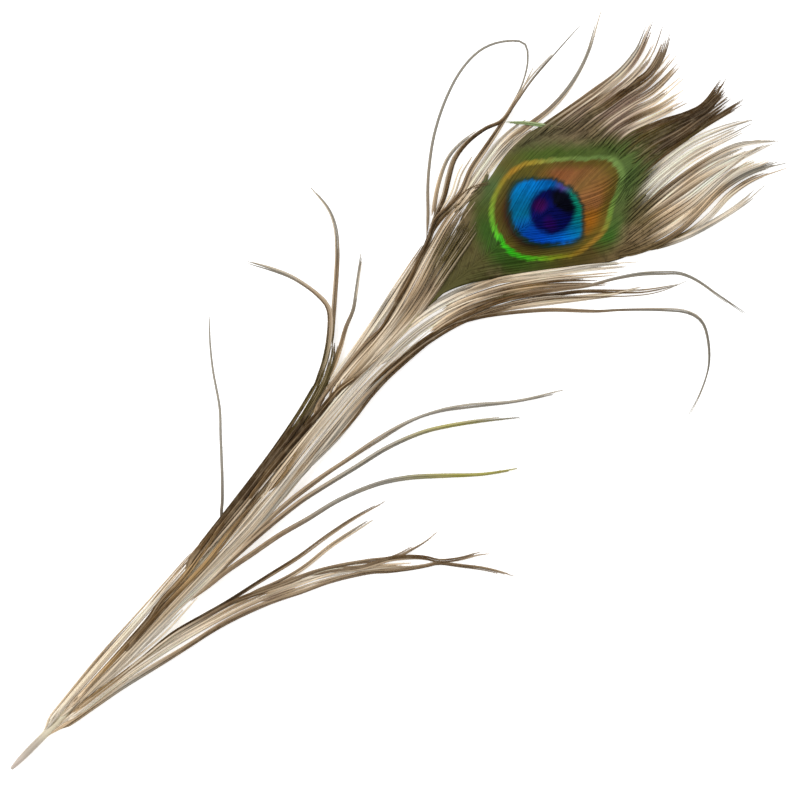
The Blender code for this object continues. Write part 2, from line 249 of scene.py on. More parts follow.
def swept(lines, width, height, section):
    """Closed strands: a section of (across, up) corners, the same all the way or one for each
    step, scaled by the half width and half height at that step, joined and capped. The caps
    fan out from the last corner, which has to have all others in sight.

    Returns points as (lines, steps, corners, 3) and faces as rows of three."""
    _, beside, up = directions(lines)
    points = (lines[:, :, None]
              + beside[:, :, None] * (width[:, :, None] * section[..., 0])[..., None]
              + up[:, :, None] * (height[:, :, None] * section[..., 1])[..., None])
    index = np.arange(points.size // 3).reshape(points.shape[:3])
    near, far = index[:, :-1], index[:, 1:]
    near_next, far_next = np.roll(near, -1, 2), np.roll(far, -1, 2)
    faces = [np.stack([near, near_next, far_next], -1), np.stack([near, far_next, far], -1),
             fan(index[:, 0, ::-1]), fan(np.roll(index[:, -1], 1, -1))]
    return points, np.vstack([part.reshape(-1, 3) for part in faces])


# %% [markdown]
# Each piece is one mesh from a few chunks of arrays. Its points carry two attributes for the
# finish, because a texture could not follow so many strands: a tint, which is a colour and a
# tone from 0 to 1 that tells barbs apart, and a weave, the place on the strand as the share
# of its length and as the distance from its root in centimetres.

# %% Pieces from chunks
LOWEST = 0.02  # millimetres over the table


def chunk(points, faces, tint, weave):
    """Arrays of any depth as rows: points in feather millimetres, faces, tints and weaves."""
    return (points.reshape(-1, 3), faces.reshape(-1, 3), tint.reshape(-1, 4),
            weave.reshape(-1, 3))


def add_piece(name, chunks, material, node):
    """One smooth mesh that rides on the feather, stands in for a solid's node or part of it,
    and wears the given material in its one slot, so that a new finish for the slot reaches the
    whole piece."""
    points, faces, tints, weaves = zip(*chunks)
    starts = np.cumsum([0] + [len(rows) for rows in points[:-1]])
    places = np.vstack(points)
    places[:, 2] = np.maximum(places[:, 2], LOWEST)
    triangles = np.vstack([rows + start for rows, start in zip(faces, starts)])
    mesh = bpy.data.meshes.new(name)
    mesh.from_pydata(to_metres(places), [], triangles)
    tint = mesh.attributes.new("tint", "FLOAT_COLOR", "POINT")
    tint.data.foreach_set("color", np.vstack(tints).astype("f").ravel())
    weave = mesh.attributes.new("weave", "FLOAT_VECTOR", "POINT")
    weave.data.foreach_set("vector", np.vstack(weaves).astype("f").ravel())
    mesh.shade_smooth()
    mesh.materials.append(material)
    made = bpy.data.objects.new(name, mesh)
    bpy.context.scene.collection.objects.link(made)
    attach(made, "root")
    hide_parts(node)
    print(f"{name}: {len(triangles)} triangles")


# %% [markdown]
# ## Shader maths with plain operators
#
# A finish is a network of nodes. It could be wired up node by node, but a network is easier
# to read as a formula. A `Wire` is one output of a node, and adding or multiplying wires
# adds the matching maths nodes to the tree that is being built.

# %% Node maths
def connect(slot, value):
    """Link a wire to a slot, or write a plain number, colour or vector into it."""
    if isinstance(value, Wire):
        slot.id_data.links.new(value.socket, slot)
    elif np.ndim(value):
        slot.default_value = (*value, 1.0)[:len(slot.default_value)]
    else:
        slot.default_value = value


def add_node(tree, kind, inputs, output=0, **settings):
    """A new node with its settings, its inputs by number or name, and one output as a wire."""
    made = tree.nodes.new("ShaderNode" + kind)
    for name, value in settings.items():
        setattr(made, name, value)
    for slot, value in inputs.items():
        connect(made.inputs[slot], value)
    return Wire(made.outputs[output])


class Wire:
    """One output socket; arithmetic on it makes maths nodes in the same tree."""

    def __init__(self, socket):
        self.socket = socket
        self.tree = socket.id_data

    def maths(self, operation, *values):
        return add_node(self.tree, "Math", dict(enumerate(values)), operation=operation)

    def __add__(self, other):
        return self.maths("ADD", self, other)

    def __sub__(self, other):
        return self.maths("SUBTRACT", self, other)

    def __rsub__(self, other):
        return self.maths("SUBTRACT", other, self)

    def __mul__(self, other):
        return self.maths("MULTIPLY", self, other)

    def __truediv__(self, other):
        return self.maths("DIVIDE", self, other)

    def __pow__(self, other):
        return self.maths("POWER", self, other)

    def ramp(self, low, high):
        """0 below `low`, 1 above `high`, and a soft step between."""
        ends = {"Value": self, "From Min": low, "From Max": high}
        return add_node(self.tree, "MapRange", ends, "Result", interpolation_type="SMOOTHSTEP")

    def split(self):
        """The three numbers of a vector."""
        first = add_node(self.tree, "SeparateXYZ", {0: self})
        return [Wire(socket) for socket in first.socket.node.outputs]


# %% Colours, places and noise in a tree
def srgb(red, green, blue):
    """A colour given as 0 to 255, as the linear numbers that shaders use."""
    value = np.array([red, green, blue]) / 255
    return np.where(value <= 0.04045, value / 12.92, ((value + 0.055) / 1.055) ** 2.4)


def blend(mask, below, above):
    """A colour: `below` where the mask is 0, `above` where it is 1."""
    return add_node(mask.tree, "Mix", {0: mask, 6: below, 7: above}, 2, data_type="RGBA")


def object_place(tree):
    """A point's place on its piece, in metres."""
    return add_node(tree, "TexCoord", {}, "Object")


def noise(place, scale, detail=2.0):
    """Cloudy noise from 0 to 1."""
    return add_node(place.tree, "TexNoise", {"Vector": place, "Scale": scale, "Detail": detail})


def attribute(tree, name, output="Color"):
    """What each point carries under that name."""
    return add_node(tree, "Attribute", {}, output, attribute_name=name)


print("middle grey is", round(float(srgb(128, 128, 128)[0]), 3), "to a shader")

# %% [markdown]
# ## The quill's horn
#
# The quill is horn: greyish at the cut, pale yellow-grey where the barbs start and brown
# along the shaft, with faint streaks and a little gloss. Streaks painted by hand would need
# a picture, but noise that is stretched along the shaft draws them at any size. The same
# noise gives the roughness and a very low bump, so that the gloss breaks up too.

# %% Quill material
CUT_COLOUR = (206, 192, 180)
HORN_COLOURS = (  # feather millimetres where the next colour starts and is full
    (1.54, 7.54, (184, 172, 156)), (9.54, 15.54, (218, 208, 180)),
    (51.54, 161.54, (150, 122, 84)),
)
STREAK_COLOUR = (150, 132, 112)


def quill_material():
    """Horn whose colour follows the place along the feather, streaked by stretched noise."""
    made, tree, shader = fresh_material("quill_horn", {})
    place = object_place(tree)
    streaks = noise(add_node(tree, "Mapping", {"Vector": place, "Scale": (0.06, 1, 1)}), 900, 3)
    along = place.split()[0] / MM + ORIGIN[0]
    horn = srgb(*CUT_COLOUR)
    for start, full, colour in HORN_COLOURS:
        horn = blend(along.ramp(start, full), horn, srgb(*colour))
    horn = blend(streaks.ramp(0.45, 0.75) * 0.35, horn, srgb(*STREAK_COLOUR))
    connect(shader.inputs["Base Color"], horn)
    connect(shader.inputs["Roughness"], streaks * 0.25 + 0.3)
    bump = {"Strength": 0.25, "Distance": 0.0001, "Height": streaks}
    connect(shader.inputs["Normal"], add_node(tree, "Bump", bump))
    return made


quill_horn = quill_material()
print("nodes in the quill's horn:", len(quill_horn.node_tree.nodes))

# %% [markdown]
# ## The shaft
#
# The quill is round at the cut and turns softly square further on, with a groove along its
# underside. A bevelled curve would keep one section all the way. So the section is a
# formula, a superellipse: its power goes from 2, a circle, to 2.6, a soft square.

# %% The shaft piece
SHAFT_STEPS, SHAFT_CORNERS = 220, 28
SQUARENESS = 0.6  # what the power gains over the first third of the shaft
GROOVE_DEPTH, GROOVE_WIDTH = 0.22, 0.5  # as shares of the radius


def shaft_section():
    """Rings of (across, up) corners, one for each step.

    A corner's distance from the middle is (|cos|^p + |sin|^p)^(-1/p), less a dent below."""
    share = np.linspace(0, 1, SHAFT_STEPS)[:, None]
    turn = np.linspace(0, 2 * math.pi, SHAFT_CORNERS, endpoint=False)
    across, up = np.cos(turn), np.sin(turn)
    power = 2 + SQUARENESS * smoothstep(share * 3)
    reach = (np.abs(across) ** power + np.abs(up) ** power) ** (-1 / power)
    dent = smoothstep(share * 4 - 0.3) * np.exp(-(across / GROOVE_WIDTH) ** 2) * (up < 0)
    reach = reach * (1 - GROOVE_DEPTH * dent)
    return np.stack([reach * across, reach * up], -1)


shaft = smooth_line(SHAFT, SHAFT_STEPS)[None]
points, faces = swept(shaft[..., :3], shaft[..., 3], shaft[..., 3], shaft_section())
plain_tint = np.ones((*points.shape[:3], 4))
shaft_chunk = chunk(points, faces, plain_tint, np.zeros(points.shape))
add_piece("quill_and_shaft", [shaft_chunk], quill_horn, "shaft")

# %% [markdown]
# ## The form of the vane
#
# Round the eye the barbs hook into one thin sheet, the vane. It arches over the shaft and
# lies flat on the table beyond. Its barbs could be laid on a sculpted sheet, but an outline
# and a height formula are enough, and the loose barbs can ask them for the vane's height
# where they cross it.

# %% The vane's outline and height
# Places along the feather, and where across it the vane's left and right edges are there
WEB_STATIONS = (181, 185, 190, 197, 205, 213, 222, 228, 232, 236, 240, 245, 250, 256)
WEB_LEFT = (11.6, 14.4, 18.0, 21.6, 24.0, 23.6, 24.7, 24.8, 24.3, 23.1, 22.1, 20.8, 19.8, 19.2)
WEB_RIGHT = (10.2, 7.2, 3.6, -1.6, -7.8, -13.2, -19, -21.6, -21.6, -20.4, -16, -10.6, -8.8, -8)
WEB_ARCH, WEB_REACH = 1.75, 10.0  # height of the arch, and its width on each side
WEB_REST = 0.6  # height where it lies flat
CREASE_DEPTH, CREASE_WIDTH = 0.12, 1.3  # of the vane over the shaft
left_edge, right_edge = (smooth_line(list(zip(WEB_STATIONS, side)), 120)
                         for side in (WEB_LEFT, WEB_RIGHT))


def web_height(beside):
    """Height of the vane at a distance beside the shaft: the arch, (1 - share^2)^2, on top
    of the rest, less a narrow bell for the crease."""
    share = np.clip(beside / WEB_REACH, 0, 1)
    crease = CREASE_DEPTH * np.exp(-((beside / CREASE_WIDTH) ** 2))
    return WEB_ARCH * (1 - share**2) ** 2 + WEB_REST - crease


print("vane, in millimetres:", round(float(np.ptp(left_edge[:, 0]))), "long and",
      round(float(left_edge[:, 1].max() - right_edge[:, 1].min())), "wide")

# %% [markdown]
# ## The woven barbs
#
# A sheet with painted stripes would have a smooth rim and no relief. So every barb of the
# vane is a flat ribbon with a ridge, tilted a few degrees, and laps over its neighbour like
# a shingle. The barbs leave the shaft one after another and bend forward, each a little
# further out than the next, like lines of flow. One ribbon more covers their roots.

# %% Ribbons
RIBBON = np.array([(1.0, -0.1), (0.35, 0.25), (0.0, 1.0),
                   (-0.35, 0.25), (-1.0, -0.1), (0.0, -0.5)])
RIDGE, RIDGE_SHADE = 2, 0.82  # the ridge's corner, and its light against the others'


def ribbons(lines, tints, width, height, tilt=0.0):
    """Flat closed ribbons with a ridge, the barb's hair, along the middle.

    Width and height are halves, in millimetres, at every step of every line, and the tilt
    is an angle."""
    points, faces = swept(lines, width, height, RIBBON)
    points[..., 2] += RIBBON[:, 0] * width[..., None] * math.tan(tilt)
    tint = np.repeat(tints[:, :, None], len(RIBBON), 2)
    tint[:, :, RIDGE, :3] *= RIDGE_SHADE
    weave = np.zeros(points.shape)
    weave[..., 0] = np.linspace(0, 1, lines.shape[1])[:, None]
    weave[..., 1] = distances(lines)[:, :, None] / 10
    return chunk(points, faces, tint, weave)


# %% The vane's barbs
WEB_BARBS, WEB_STEPS = 92, 44  # on each side
WEB_ROOTS = (177.0, 66.0)  # where the first barb leaves the shaft, and how far on the last
WEB_END, WEB_FRAY = 243, 9  # where the barbs end, and by how much they differ
WEB_BEND = 15  # millimetres along in which a barb comes near its own flow line
WEB_HALF_WIDTH, WEB_RIDGE, WEB_TILT = 0.5, 0.15, math.radians(8)
SEAM_STEPS, SEAM_END = 80, 247
SEAM_HALF_WIDTHS, SEAM_RIDGE, SEAM_LIFT = (0.5, 0.2), 0.14, 0.06


def web_lines(edge):
    """Lines of one side's barbs, from the shaft outward and forward to the vane's edge.

    The barb at the share t of the roots goes out to (1 - t)^0.9 of the way to the edge.
    The first few end up to 6 mm earlier than the others."""
    t = (np.arange(WEB_BARBS) + draw.uniform(0.3, 0.7, WEB_BARBS)) / WEB_BARBS
    root = WEB_ROOTS[0] + WEB_ROOTS[1] * t**0.95
    end = WEB_END + draw.uniform(0, WEB_FRAY, WEB_BARBS) + 2 * t - 6 * np.exp(-t * 14)
    x = root[:, None] + (end - root)[:, None] * np.linspace(0, 1, WEB_STEPS) ** 1.15
    middle = shaft_at(x)[0]
    out = (1 - t[:, None]) ** 0.9 * (1 - np.exp(-(x - root[:, None]) / WEB_BEND))
    y = middle + out * (np.interp(x, *edge.T) - middle)
    z = web_height(np.abs(y - middle)) + draw.uniform(-0.05, 0.05, (WEB_BARBS, 1))
    return np.stack([x, y, z], 2)


def web_side(edge, side):
    """Ribbons on one side of the shaft, each with its own tone and tilted to lap. Each
    starts at half its width and thins out at its end."""
    lines = web_lines(edge)
    share = np.linspace(0, 1, WEB_STEPS)
    taper = (0.5 + 0.5 * smoothstep(share * 8)) * (1 - 0.75 * share**8)
    width = np.broadcast_to(WEB_HALF_WIDTH * taper, lines.shape[:2])
    tone = np.broadcast_to(draw.random((len(lines), 1, 1)), (*lines.shape[:2], 1))
    tints = np.concatenate([np.ones(lines.shape), tone], 2)
    return ribbons(lines, tints, width, np.full(width.shape, WEB_RIDGE), side * WEB_TILT)


def web_seam():
    """One ribbon along the shaft, over the roots of the vane's barbs."""
    x = np.linspace(WEB_ROOTS[0], SEAM_END, SEAM_STEPS)
    line = np.stack([x, shaft_at(x)[0], np.full(SEAM_STEPS, web_height(0) + SEAM_LIFT)], 1)[None]
    width = np.linspace(*SEAM_HALF_WIDTHS, SEAM_STEPS)[None]
    tints = np.full((1, SEAM_STEPS, 4), 0.5)
    return ribbons(line, tints, width, np.full(width.shape, SEAM_RIDGE))


web_chunks = [web_side(left_edge, 1), web_side(right_edge, -1), web_seam()]
print("barbs in the vane:", 2 * WEB_BARBS)

# %% [markdown]
# ## The eye, as a map of rings
#
# The eye's colours come from the fine layers in its barbules, and they follow one plan:
# a dark heart in a blue disc, a bronze field, a thin yellow-green ring shaped like a drop
# that points to the tip, and green fading to brown outside. A picture could hold that plan,
# but its rings would blur from near. So the shader measures each point's distance from
# the middle against a drop-shaped radius, and takes the colour of each zone from a ramp
# that goes once round the eye.

# %% The eye's plan
EYE_CENTRE = (221.0, 4.0)  # feather millimetres

# Radii of the ring and of the blue disc once round the eye, in millimetres, by degrees from
# the direction of the tip, to the left positive
RING_RADII = (
    (-180, 16.5), (-166, 15.7), (-148, 14.2), (-126, 13.7), (-108, 14.4), (-87, 14.8), (-65, 16.4),
    (-45, 17.2), (-27, 20.4), (-12, 22.7), (1, 20.2), (18, 16.2), (50, 13.9), (78, 15.0),
    (111, 16.0), (133, 16.7), (152, 16.9), (174, 16.7), (180, 16.5))
RING_WIDTH = 0.05  # half width, as a share of the radius
DISC_RADII = (
    (-180, 11.2), (-155, 10.2), (-135, 9.9), (-115, 10.5), (-100, 11.4), (-88, 11.7), (-75, 10.6),
    (-60, 9.5), (-45, 9.0), (-20, 8.4), (5, 8.1), (30, 8.2), (45, 8.5), (65, 9.1), (80, 10.4),
    (93, 11.9), (108, 12.4), (125, 11.9), (145, 11.7), (165, 11.6), (180, 11.2))

# Colours once round the eye: of the ring, the field inside it, the rim near it and far from
# it, and the disc
RING_COLOURS = (
    (-180, (48, 190, 24)), (-160, (76, 190, 30)), (-135, (118, 140, 26)), (-105, (140, 110, 30)),
    (-75, (150, 112, 40)), (-50, (112, 142, 56)), (-20, (112, 140, 72)), (10, (118, 144, 76)),
    (40, (128, 148, 72)), (65, (158, 138, 48)), (90, (164, 122, 40)), (115, (138, 136, 46)),
    (145, (110, 168, 48)), (165, (76, 190, 36)), (180, (48, 190, 24)))
FIELD_COLOURS = (
    (-180, (42, 20, 6)), (-150, (26, 22, 6)), (-120, (34, 32, 8)), (-90, (92, 60, 8)),
    (-60, (156, 94, 10)), (-30, (136, 92, 30)), (-8, (126, 92, 44)), (15, (146, 92, 52)),
    (35, (142, 84, 44)), (55, (116, 86, 28)), (75, (84, 78, 24)), (100, (48, 50, 24)),
    (130, (64, 24, 8)), (155, (50, 18, 6)), (180, (42, 20, 6)))
NEAR_COLOURS = (
    (-180, (52, 86, 22)), (-155, (56, 74, 18)), (-120, (72, 62, 16)), (-90, (80, 66, 24)),
    (-70, (56, 96, 28)), (-45, (82, 96, 46)), (-20, (84, 106, 52)), (5, (84, 102, 46)),
    (35, (72, 92, 30)), (65, (76, 94, 32)), (90, (96, 92, 40)), (112, (84, 106, 58)),
    (135, (70, 84, 30)), (150, (56, 88, 26)), (180, (52, 86, 22)))
FAR_COLOURS = (
    (-180, (84, 82, 42)), (-150, (76, 70, 30)), (-110, (92, 76, 36)), (-60, (122, 102, 70)),
    (-25, (100, 100, 60)), (0, (104, 96, 60)), (25, (116, 100, 74)), (60, (104, 98, 66)),
    (100, (122, 106, 78)), (140, (100, 84, 48)), (180, (84, 82, 42)))
DISC_COLOURS = (
    (-180, (0, 70, 170)), (-150, (0, 80, 206)), (-115, (0, 104, 214)), (-80, (0, 118, 160)),
    (-45, (4, 150, 118)), (-5, (20, 110, 96)), (16, (84, 62, 140)), (40, (0, 96, 176)),
    (75, (0, 122, 206)), (110, (0, 112, 170)), (145, (0, 106, 146)), (180, (0, 70, 170)))

# Dark and violet patches of the heart: middle and radii in millimetres from the eye's centre,
# the shares of the radii where a patch starts and is full, its strength and its colour
HEART = (
    ((-0.3, -0.6), (6.5, 6.6), 1.14, 0.84, 1.0, (4, 10, 84)),
    ((-1.6, 2.9), (2.6, 2.3), 1.2, 0.3, 0.75, (62, 2, 66)),
    ((-3.0, -2.7), (2.0, 2.6), 1.2, 0.3, 0.7, (44, 0, 86)),
    ((3.9, -0.9), (2.9, 5.4), 1.15, 0.5, 0.96, (1, 2, 6)))
print("ring, in millimetres:", max(r for _, r in RING_RADII), "at its longest radius")

# %% [markdown]
# A colour ramp and a float curve both take a number from 0 to 1, so the direction from the
# eye's centre is turned into such a number, once round the eye, and each table above
# becomes one node.

# %% Ramps and curves once round
def round_ramp(turn, stops):
    """A colour ramp over one turn, from (degrees, colour) stops."""
    ramp = add_node(turn.tree, "ValToRGB", {0: turn})
    elements = ramp.socket.node.color_ramp.elements
    for k, (degrees, colour) in enumerate(stops):
        place = (degrees + 180) / 360
        element = elements[k] if k < 2 else elements.new(place)
        element.position = place
        element.color = (*srgb(*colour), 1)
    return ramp


def round_curve(turn, stops):
    """A number that follows a soft curve over one turn, from (degrees, number) stops."""
    largest = max(number for _, number in stops)
    curve = add_node(turn.tree, "FloatCurve", {"Value": turn})
    mapping = curve.socket.node.mapping
    points = mapping.curves[0].points
    for k, (degrees, number) in enumerate(stops):
        place = ((degrees + 180) / 360, number / largest)
        if k < 2:
            points[k].location = place
        else:
            points.new(*place)
    mapping.update()
    return curve * largest


# %% [markdown]
# The map itself is a node group, because both the vane and the roots of the crown wear it.
# It shifts a little along itself from barb to barb, so the zones meet in fine steps, as
# they do on a real feather. The disc and the ring also gleam like metal. No colour follows
# the viewer: the map looks as the real eye does from above.

# %% The eye map
GRAIN_SHIFT = (1.0, 0.6)  # millimetres, along and across


def node_group(name, taken, given):
    """A node group that takes one number in and gives the named outputs: the group, the
    number as a wire, and its output node."""
    group = bpy.data.node_groups.new(name, "ShaderNodeTree")
    group.interface.new_socket(taken, in_out="INPUT", socket_type="NodeSocketFloat")
    for label, kind in given.items():
        group.interface.new_socket(label, in_out="OUTPUT", socket_type="NodeSocket" + kind)
    number = group.nodes.new("NodeGroupInput").outputs[taken]
    return group, Wire(number), group.nodes.new("NodeGroupOutput")


def oval(x, y, middle, radii):
    """1 on the rim of an ellipse, less inside."""
    across, up = ((place - at) / reach for place, at, reach in zip((x, y), middle, radii))
    return (across * across + up * up) ** 0.5


def eye_map():
    """Node group: the vane's colour, and how metallic it gleams. It takes the millimetres by
    which barbs shift it."""
    given = {"Colour": "Color", "Gleam": "Float"}
    group, shift, output = node_group("eye_map", "Barb shift", given)
    tone = attribute(group, "tint", "Alpha")
    place = object_place(group)
    grain, cloud = noise(place, 700), noise(place, 95, 3)
    centre = to_metres((*EYE_CENTRE, 0.0)) / MM
    x, y, _ = place.split()
    x = x / MM - centre[0] + (tone - 0.5) * shift + (grain - 0.5) * GRAIN_SHIFT[0]
    y = y / MM - centre[1] + (grain - 0.5) * GRAIN_SHIFT[1]
    turn = x.maths("ARCTAN2", y, x) / (2 * math.pi) + 0.5
    radius = (x * x + y * y) ** 0.5
    share, disc = radius / round_curve(turn, RING_RADII), radius / round_curve(turn, DISC_RADII)

    # outside the ring: green, then brown, with pale and dark specks
    near, far = round_ramp(turn, NEAR_COLOURS), round_ramp(turn, FAR_COLOURS)
    colour = blend(share.ramp(1.15, 1.5), near, far)
    outside = share.ramp(1.1, 1.4)
    colour = blend(cloud.ramp(0.52, 0.7) * outside * 0.4, colour, srgb(150, 128, 96))
    colour = blend(grain.ramp(0.5, 0.7) * outside * 0.5, colour, srgb(50, 40, 14))

    # the bronze field, brighter towards the tip, and the ring round it
    field = round_ramp(turn, FIELD_COLOURS)
    bright = oval(x, y, (11, -4), (12, 16)).ramp(1.1, 0.7)
    field = blend(cloud.ramp(0.5, 0.7) * bright * 0.4, field, srgb(168, 108, 76))
    field = blend(share.ramp(0.72, 0.92) * 0.8, field, srgb(92, 82, 22))
    colour = blend(share.ramp(1 + RING_WIDTH * 0.6, 1 - RING_WIDTH * 0.4), colour, field)
    ring = share.maths("ABSOLUTE", share - 1).ramp(RING_WIDTH * 1.5, RING_WIDTH * 0.2)
    colour = blend(ring, colour, round_ramp(turn, RING_COLOURS))

    # the disc with its dark rim, and the heart
    colour = blend(disc.ramp(1.14, 1.0) * 0.8, colour, srgb(14, 56, 48))
    colour = blend(disc.ramp(1.03, 0.9), colour, round_ramp(turn, DISC_COLOURS))
    for middle, radii, start, full, strength, patch in HEART:
        mask = oval(x, y, middle, radii).ramp(start, full) * strength
        colour = blend(mask, colour, srgb(*patch))

    light = {0: colour, "Scale": tone * 0.35 + grain * 0.4 + 0.6}
    colour = add_node(group, "VectorMath", light, operation="SCALE")
    connect(output.inputs["Colour"], colour)
    connect(output.inputs["Gleam"], (1 - disc.ramp(0.95, 1.1)) * 0.7 + ring * 0.3)
    return group


eye_group = eye_map()
print("nodes in the eye map:", len(eye_group.nodes))

# %% [markdown]
# ## The vane's finish
#
# The group only puts out what changes over the surface. Roughness and gloss are the same
# all over, so they are set on the shader itself.

# %% The vane piece
MATT = 0.12  # gloss of all barbs, far under the 0.5 of a smooth surface
BARB_SHIFT = 0.7  # millimetres


def use_group(tree, group, number):
    """The outputs of a node group that is placed in a material with its own number."""
    used = tree.nodes.new("ShaderNodeGroup")
    used.node_tree = group
    connect(used.inputs[0], number)
    return [Wire(socket) for socket in used.outputs]


def eye_material():
    """The eye map, with its gleam as metal."""
    made, tree, shader = fresh_material("eye_web", {"Roughness": 0.5, "Specular IOR Level": MATT})
    colour, gleam = use_group(tree, eye_group, BARB_SHIFT)
    connect(shader.inputs["Base Color"], colour)
    connect(shader.inputs["Metallic"], gleam)
    return made


add_piece("eye_web", web_chunks, eye_material(), "eye_vane")

# %% [markdown]
# ## How loose barbs rest
#
# A barb that leaves the shaft sinks to the table over about two centimetres, and one that
# crosses the shaft or the vane lies on top. Dropping each barb in a simulation would take
# long and tear the bundle apart. So its height is a formula of its distance beside the
# shaft, the same as in the solids.

# %% Resting heights
GAP = 0.35  # clear space between the shaft and a barb that crosses it
BARB_FALL = 9.0  # how far from the shaft a barb has sunk halfway to the table
BARB_REACH, BARB_THICKNESS = 0.45, 0.25  # half a barb's width with its hooks, half its height
STEP_OVER = 3.0  # width of the soft step that lifts a barb over the shaft
CLEAR_OF_TABLE = 0.06
CLEAR_OF_WEB = 0.25
WEB_BEYOND = 257.0  # where along the feather the vane has ended


def barb_height(along, across):
    """Height of a resting barb: the shaft's height, divided by 1 plus the square of the
    distance beside it, plus a soft step over the shaft where the barb would touch it."""
    shaft_across, shaft_height, shaft_radius = shaft_at(along)
    beside = np.abs(across - shaft_across)
    sunk = shaft_height / (1 + (beside / BARB_FALL) ** 2)
    touching = smoothstep((shaft_radius + GAP + BARB_REACH + STEP_OVER - beside) / STEP_OVER)
    step = touching * (shaft_radius + GAP + BARB_THICKNESS)
    return np.maximum(sunk + step, BARB_THICKNESS + CLEAR_OF_TABLE)


def web_cover(along, across):
    """Height that clears the vane where a barb lies on it, and zero beside it."""
    left, right = (np.interp(along, *edge.T) for edge in (left_edge, right_edge))
    inside = (smoothstep((left - across + 1.2) / 2) * smoothstep((across - right + 1.2) / 2)
              * smoothstep((along - WEB_ROOTS[0]) / 7) * smoothstep((WEB_BEYOND - along) / 8))
    return inside * (web_height(np.abs(across - shaft_at(along)[0])) + CLEAR_OF_WEB)


print("a barb over the shaft at 100 mm:", round(float(barb_height(100.0, 4.6)), 1), "mm high")

# %% [markdown]
# ## Barbules
#
# A loose barb is a bronze-brown hair with a soft comb of barbules on both sides, and reads
# from a step away as a fuzzy ribbon about a millimetre wide. Hair curves would draw such a
# comb, but they aren't a mesh. So each barbule is a closed spike of four small triangles,
# the least that can hold a volume, because there are almost 150,000 of them. All of a
# family's barbules are worked out at once.

# %% Combs of barbules
HOOK_WIDTH = 0.15  # millimetres at the root
HOOK_LEAN = (30, 50)  # degrees away from the barb, least and most
HOOK_LIFT = (2, 12)  # degrees upward, middle and scatter
HOOK_REACH = (0.7, 1.15)  # least and most, as shares of the length
HOOK_FACES = [[0, 1, 2], [0, 3, 1], [1, 3, 2], [2, 3, 0]]


def at_share(values, which, share):
    """Values of the lines `which` at a share of their length, read between two steps."""
    place = np.clip(share, 0, 1) * (values.shape[1] - 1)
    low = np.minimum(place.astype(int), values.shape[1] - 2)
    part = (place - low)[:, None]
    return values[which, low] * (1 - part) + values[which, low + 1] * part


def comb(lines, tints, spacing, length, start, tip_keep):
    """Barbules on both sides of every line.

    They stand every `spacing` millimetres from the share `start` of the line on, and
    shorten towards the tip to `tip_keep` of their length. A barbule goes forward by the
    cosine of its lean, and outward and up by the sine."""
    far = distances(lines)
    each = np.maximum(4, (far[:, -1] / spacing).astype(int))
    which = np.repeat(np.arange(len(lines)), each)
    order = np.arange(each.sum()) - np.repeat(np.cumsum(each) - each, each)
    share = (order + draw.random(len(order))) / each[which]
    keep = share > start
    which, share = np.tile(which[keep], 2), np.tile(share[keep], 2)
    side = np.repeat([[1.0], [-1.0]], keep.sum(), 0)
    share = np.clip(share + draw.normal(0, 0.3, len(share)) / each[which], 0, 1)

    root = at_share(lines, which, share)
    along, beside, up = (at_share(way, which, share) for way in directions(lines))
    lean = np.radians(draw.uniform(*HOOK_LEAN, side.shape))
    lift = np.radians(draw.normal(*HOOK_LIFT, side.shape))
    way = (along * np.cos(lean) + beside * side * np.sin(lean) * np.cos(lift)
           + up * np.sin(lean) * np.sin(lift))
    reach = length * draw.uniform(*HOOK_REACH, len(share))
    reach *= (tip_keep + (1 - tip_keep) * (1 - share**2)) * smoothstep((share - start) * 9 + 0.2)
    half = HOOK_WIDTH / 2
    corners = np.stack([root - along * half, root + along * half, root + up * half,
                        root + way * reach[:, None]], 1)
    corners[:, :, 2] = np.maximum(corners[:, :, 2], 0.03)

    index = np.arange(len(share) * 4).reshape(-1, 4)
    edges = corners[:, 1:] - corners[:, :1]
    inward = np.einsum("ij,ij->i", np.cross(edges[:, 0], edges[:, 1]), edges[:, 2]) > 0
    index[inward] = index[inward][:, [1, 0, 2, 3]]
    tint = np.repeat(at_share(tints, which, share)[:, None], 4, 1)
    weave = np.zeros(corners.shape)
    weave[:, :, 0] = share[:, None]
    weave[:, :, 1] = at_share(far[:, :, None], which, share) / 10
    return chunk(corners, index[:, HOOK_FACES], tint, weave)


# %% [markdown]
# ## Colours of the loose barbs
#
# The loose barbs are bronze-brown where they are dense, tan and cream where light comes
# through, and grey towards their thin tips. A few on the right side end in olive yellow. One
# gradient for all would look dyed. So each guide line names its own colours from root to
# tip, out of one small palette.

# %% Palette
PALETTE = {name: srgb(*colour) for name, colour in {
    "dark": (72, 51, 24), "brown": (106, 80, 47), "umber": (94, 80, 38),
    "taupe": (148, 125, 98), "mauve": (154, 128, 110), "gold": (170, 136, 88),
    "tan": (198, 172, 138), "cream": (240, 222, 196), "ivory": (248, 238, 222),
    "silver": (176, 169, 156), "grey": (158, 152, 140), "olive": (170, 164, 88),
    "sage": (140, 160, 110), "green": (74, 88, 42),
}.items()}
print("colours:", ", ".join(PALETTE))

# %% [markdown]
# ## Guide lines and their families of barbs
#
# The solids have one lock for each visible strand or tuft. Combed hair would be the usual
# way to fill such a lock. Here the lock's course becomes a guide line with a small family
# of barbs: they leave the shaft one after another, drift apart a little, wave, and end at
# their own lengths, and every one is a real mesh from the start.

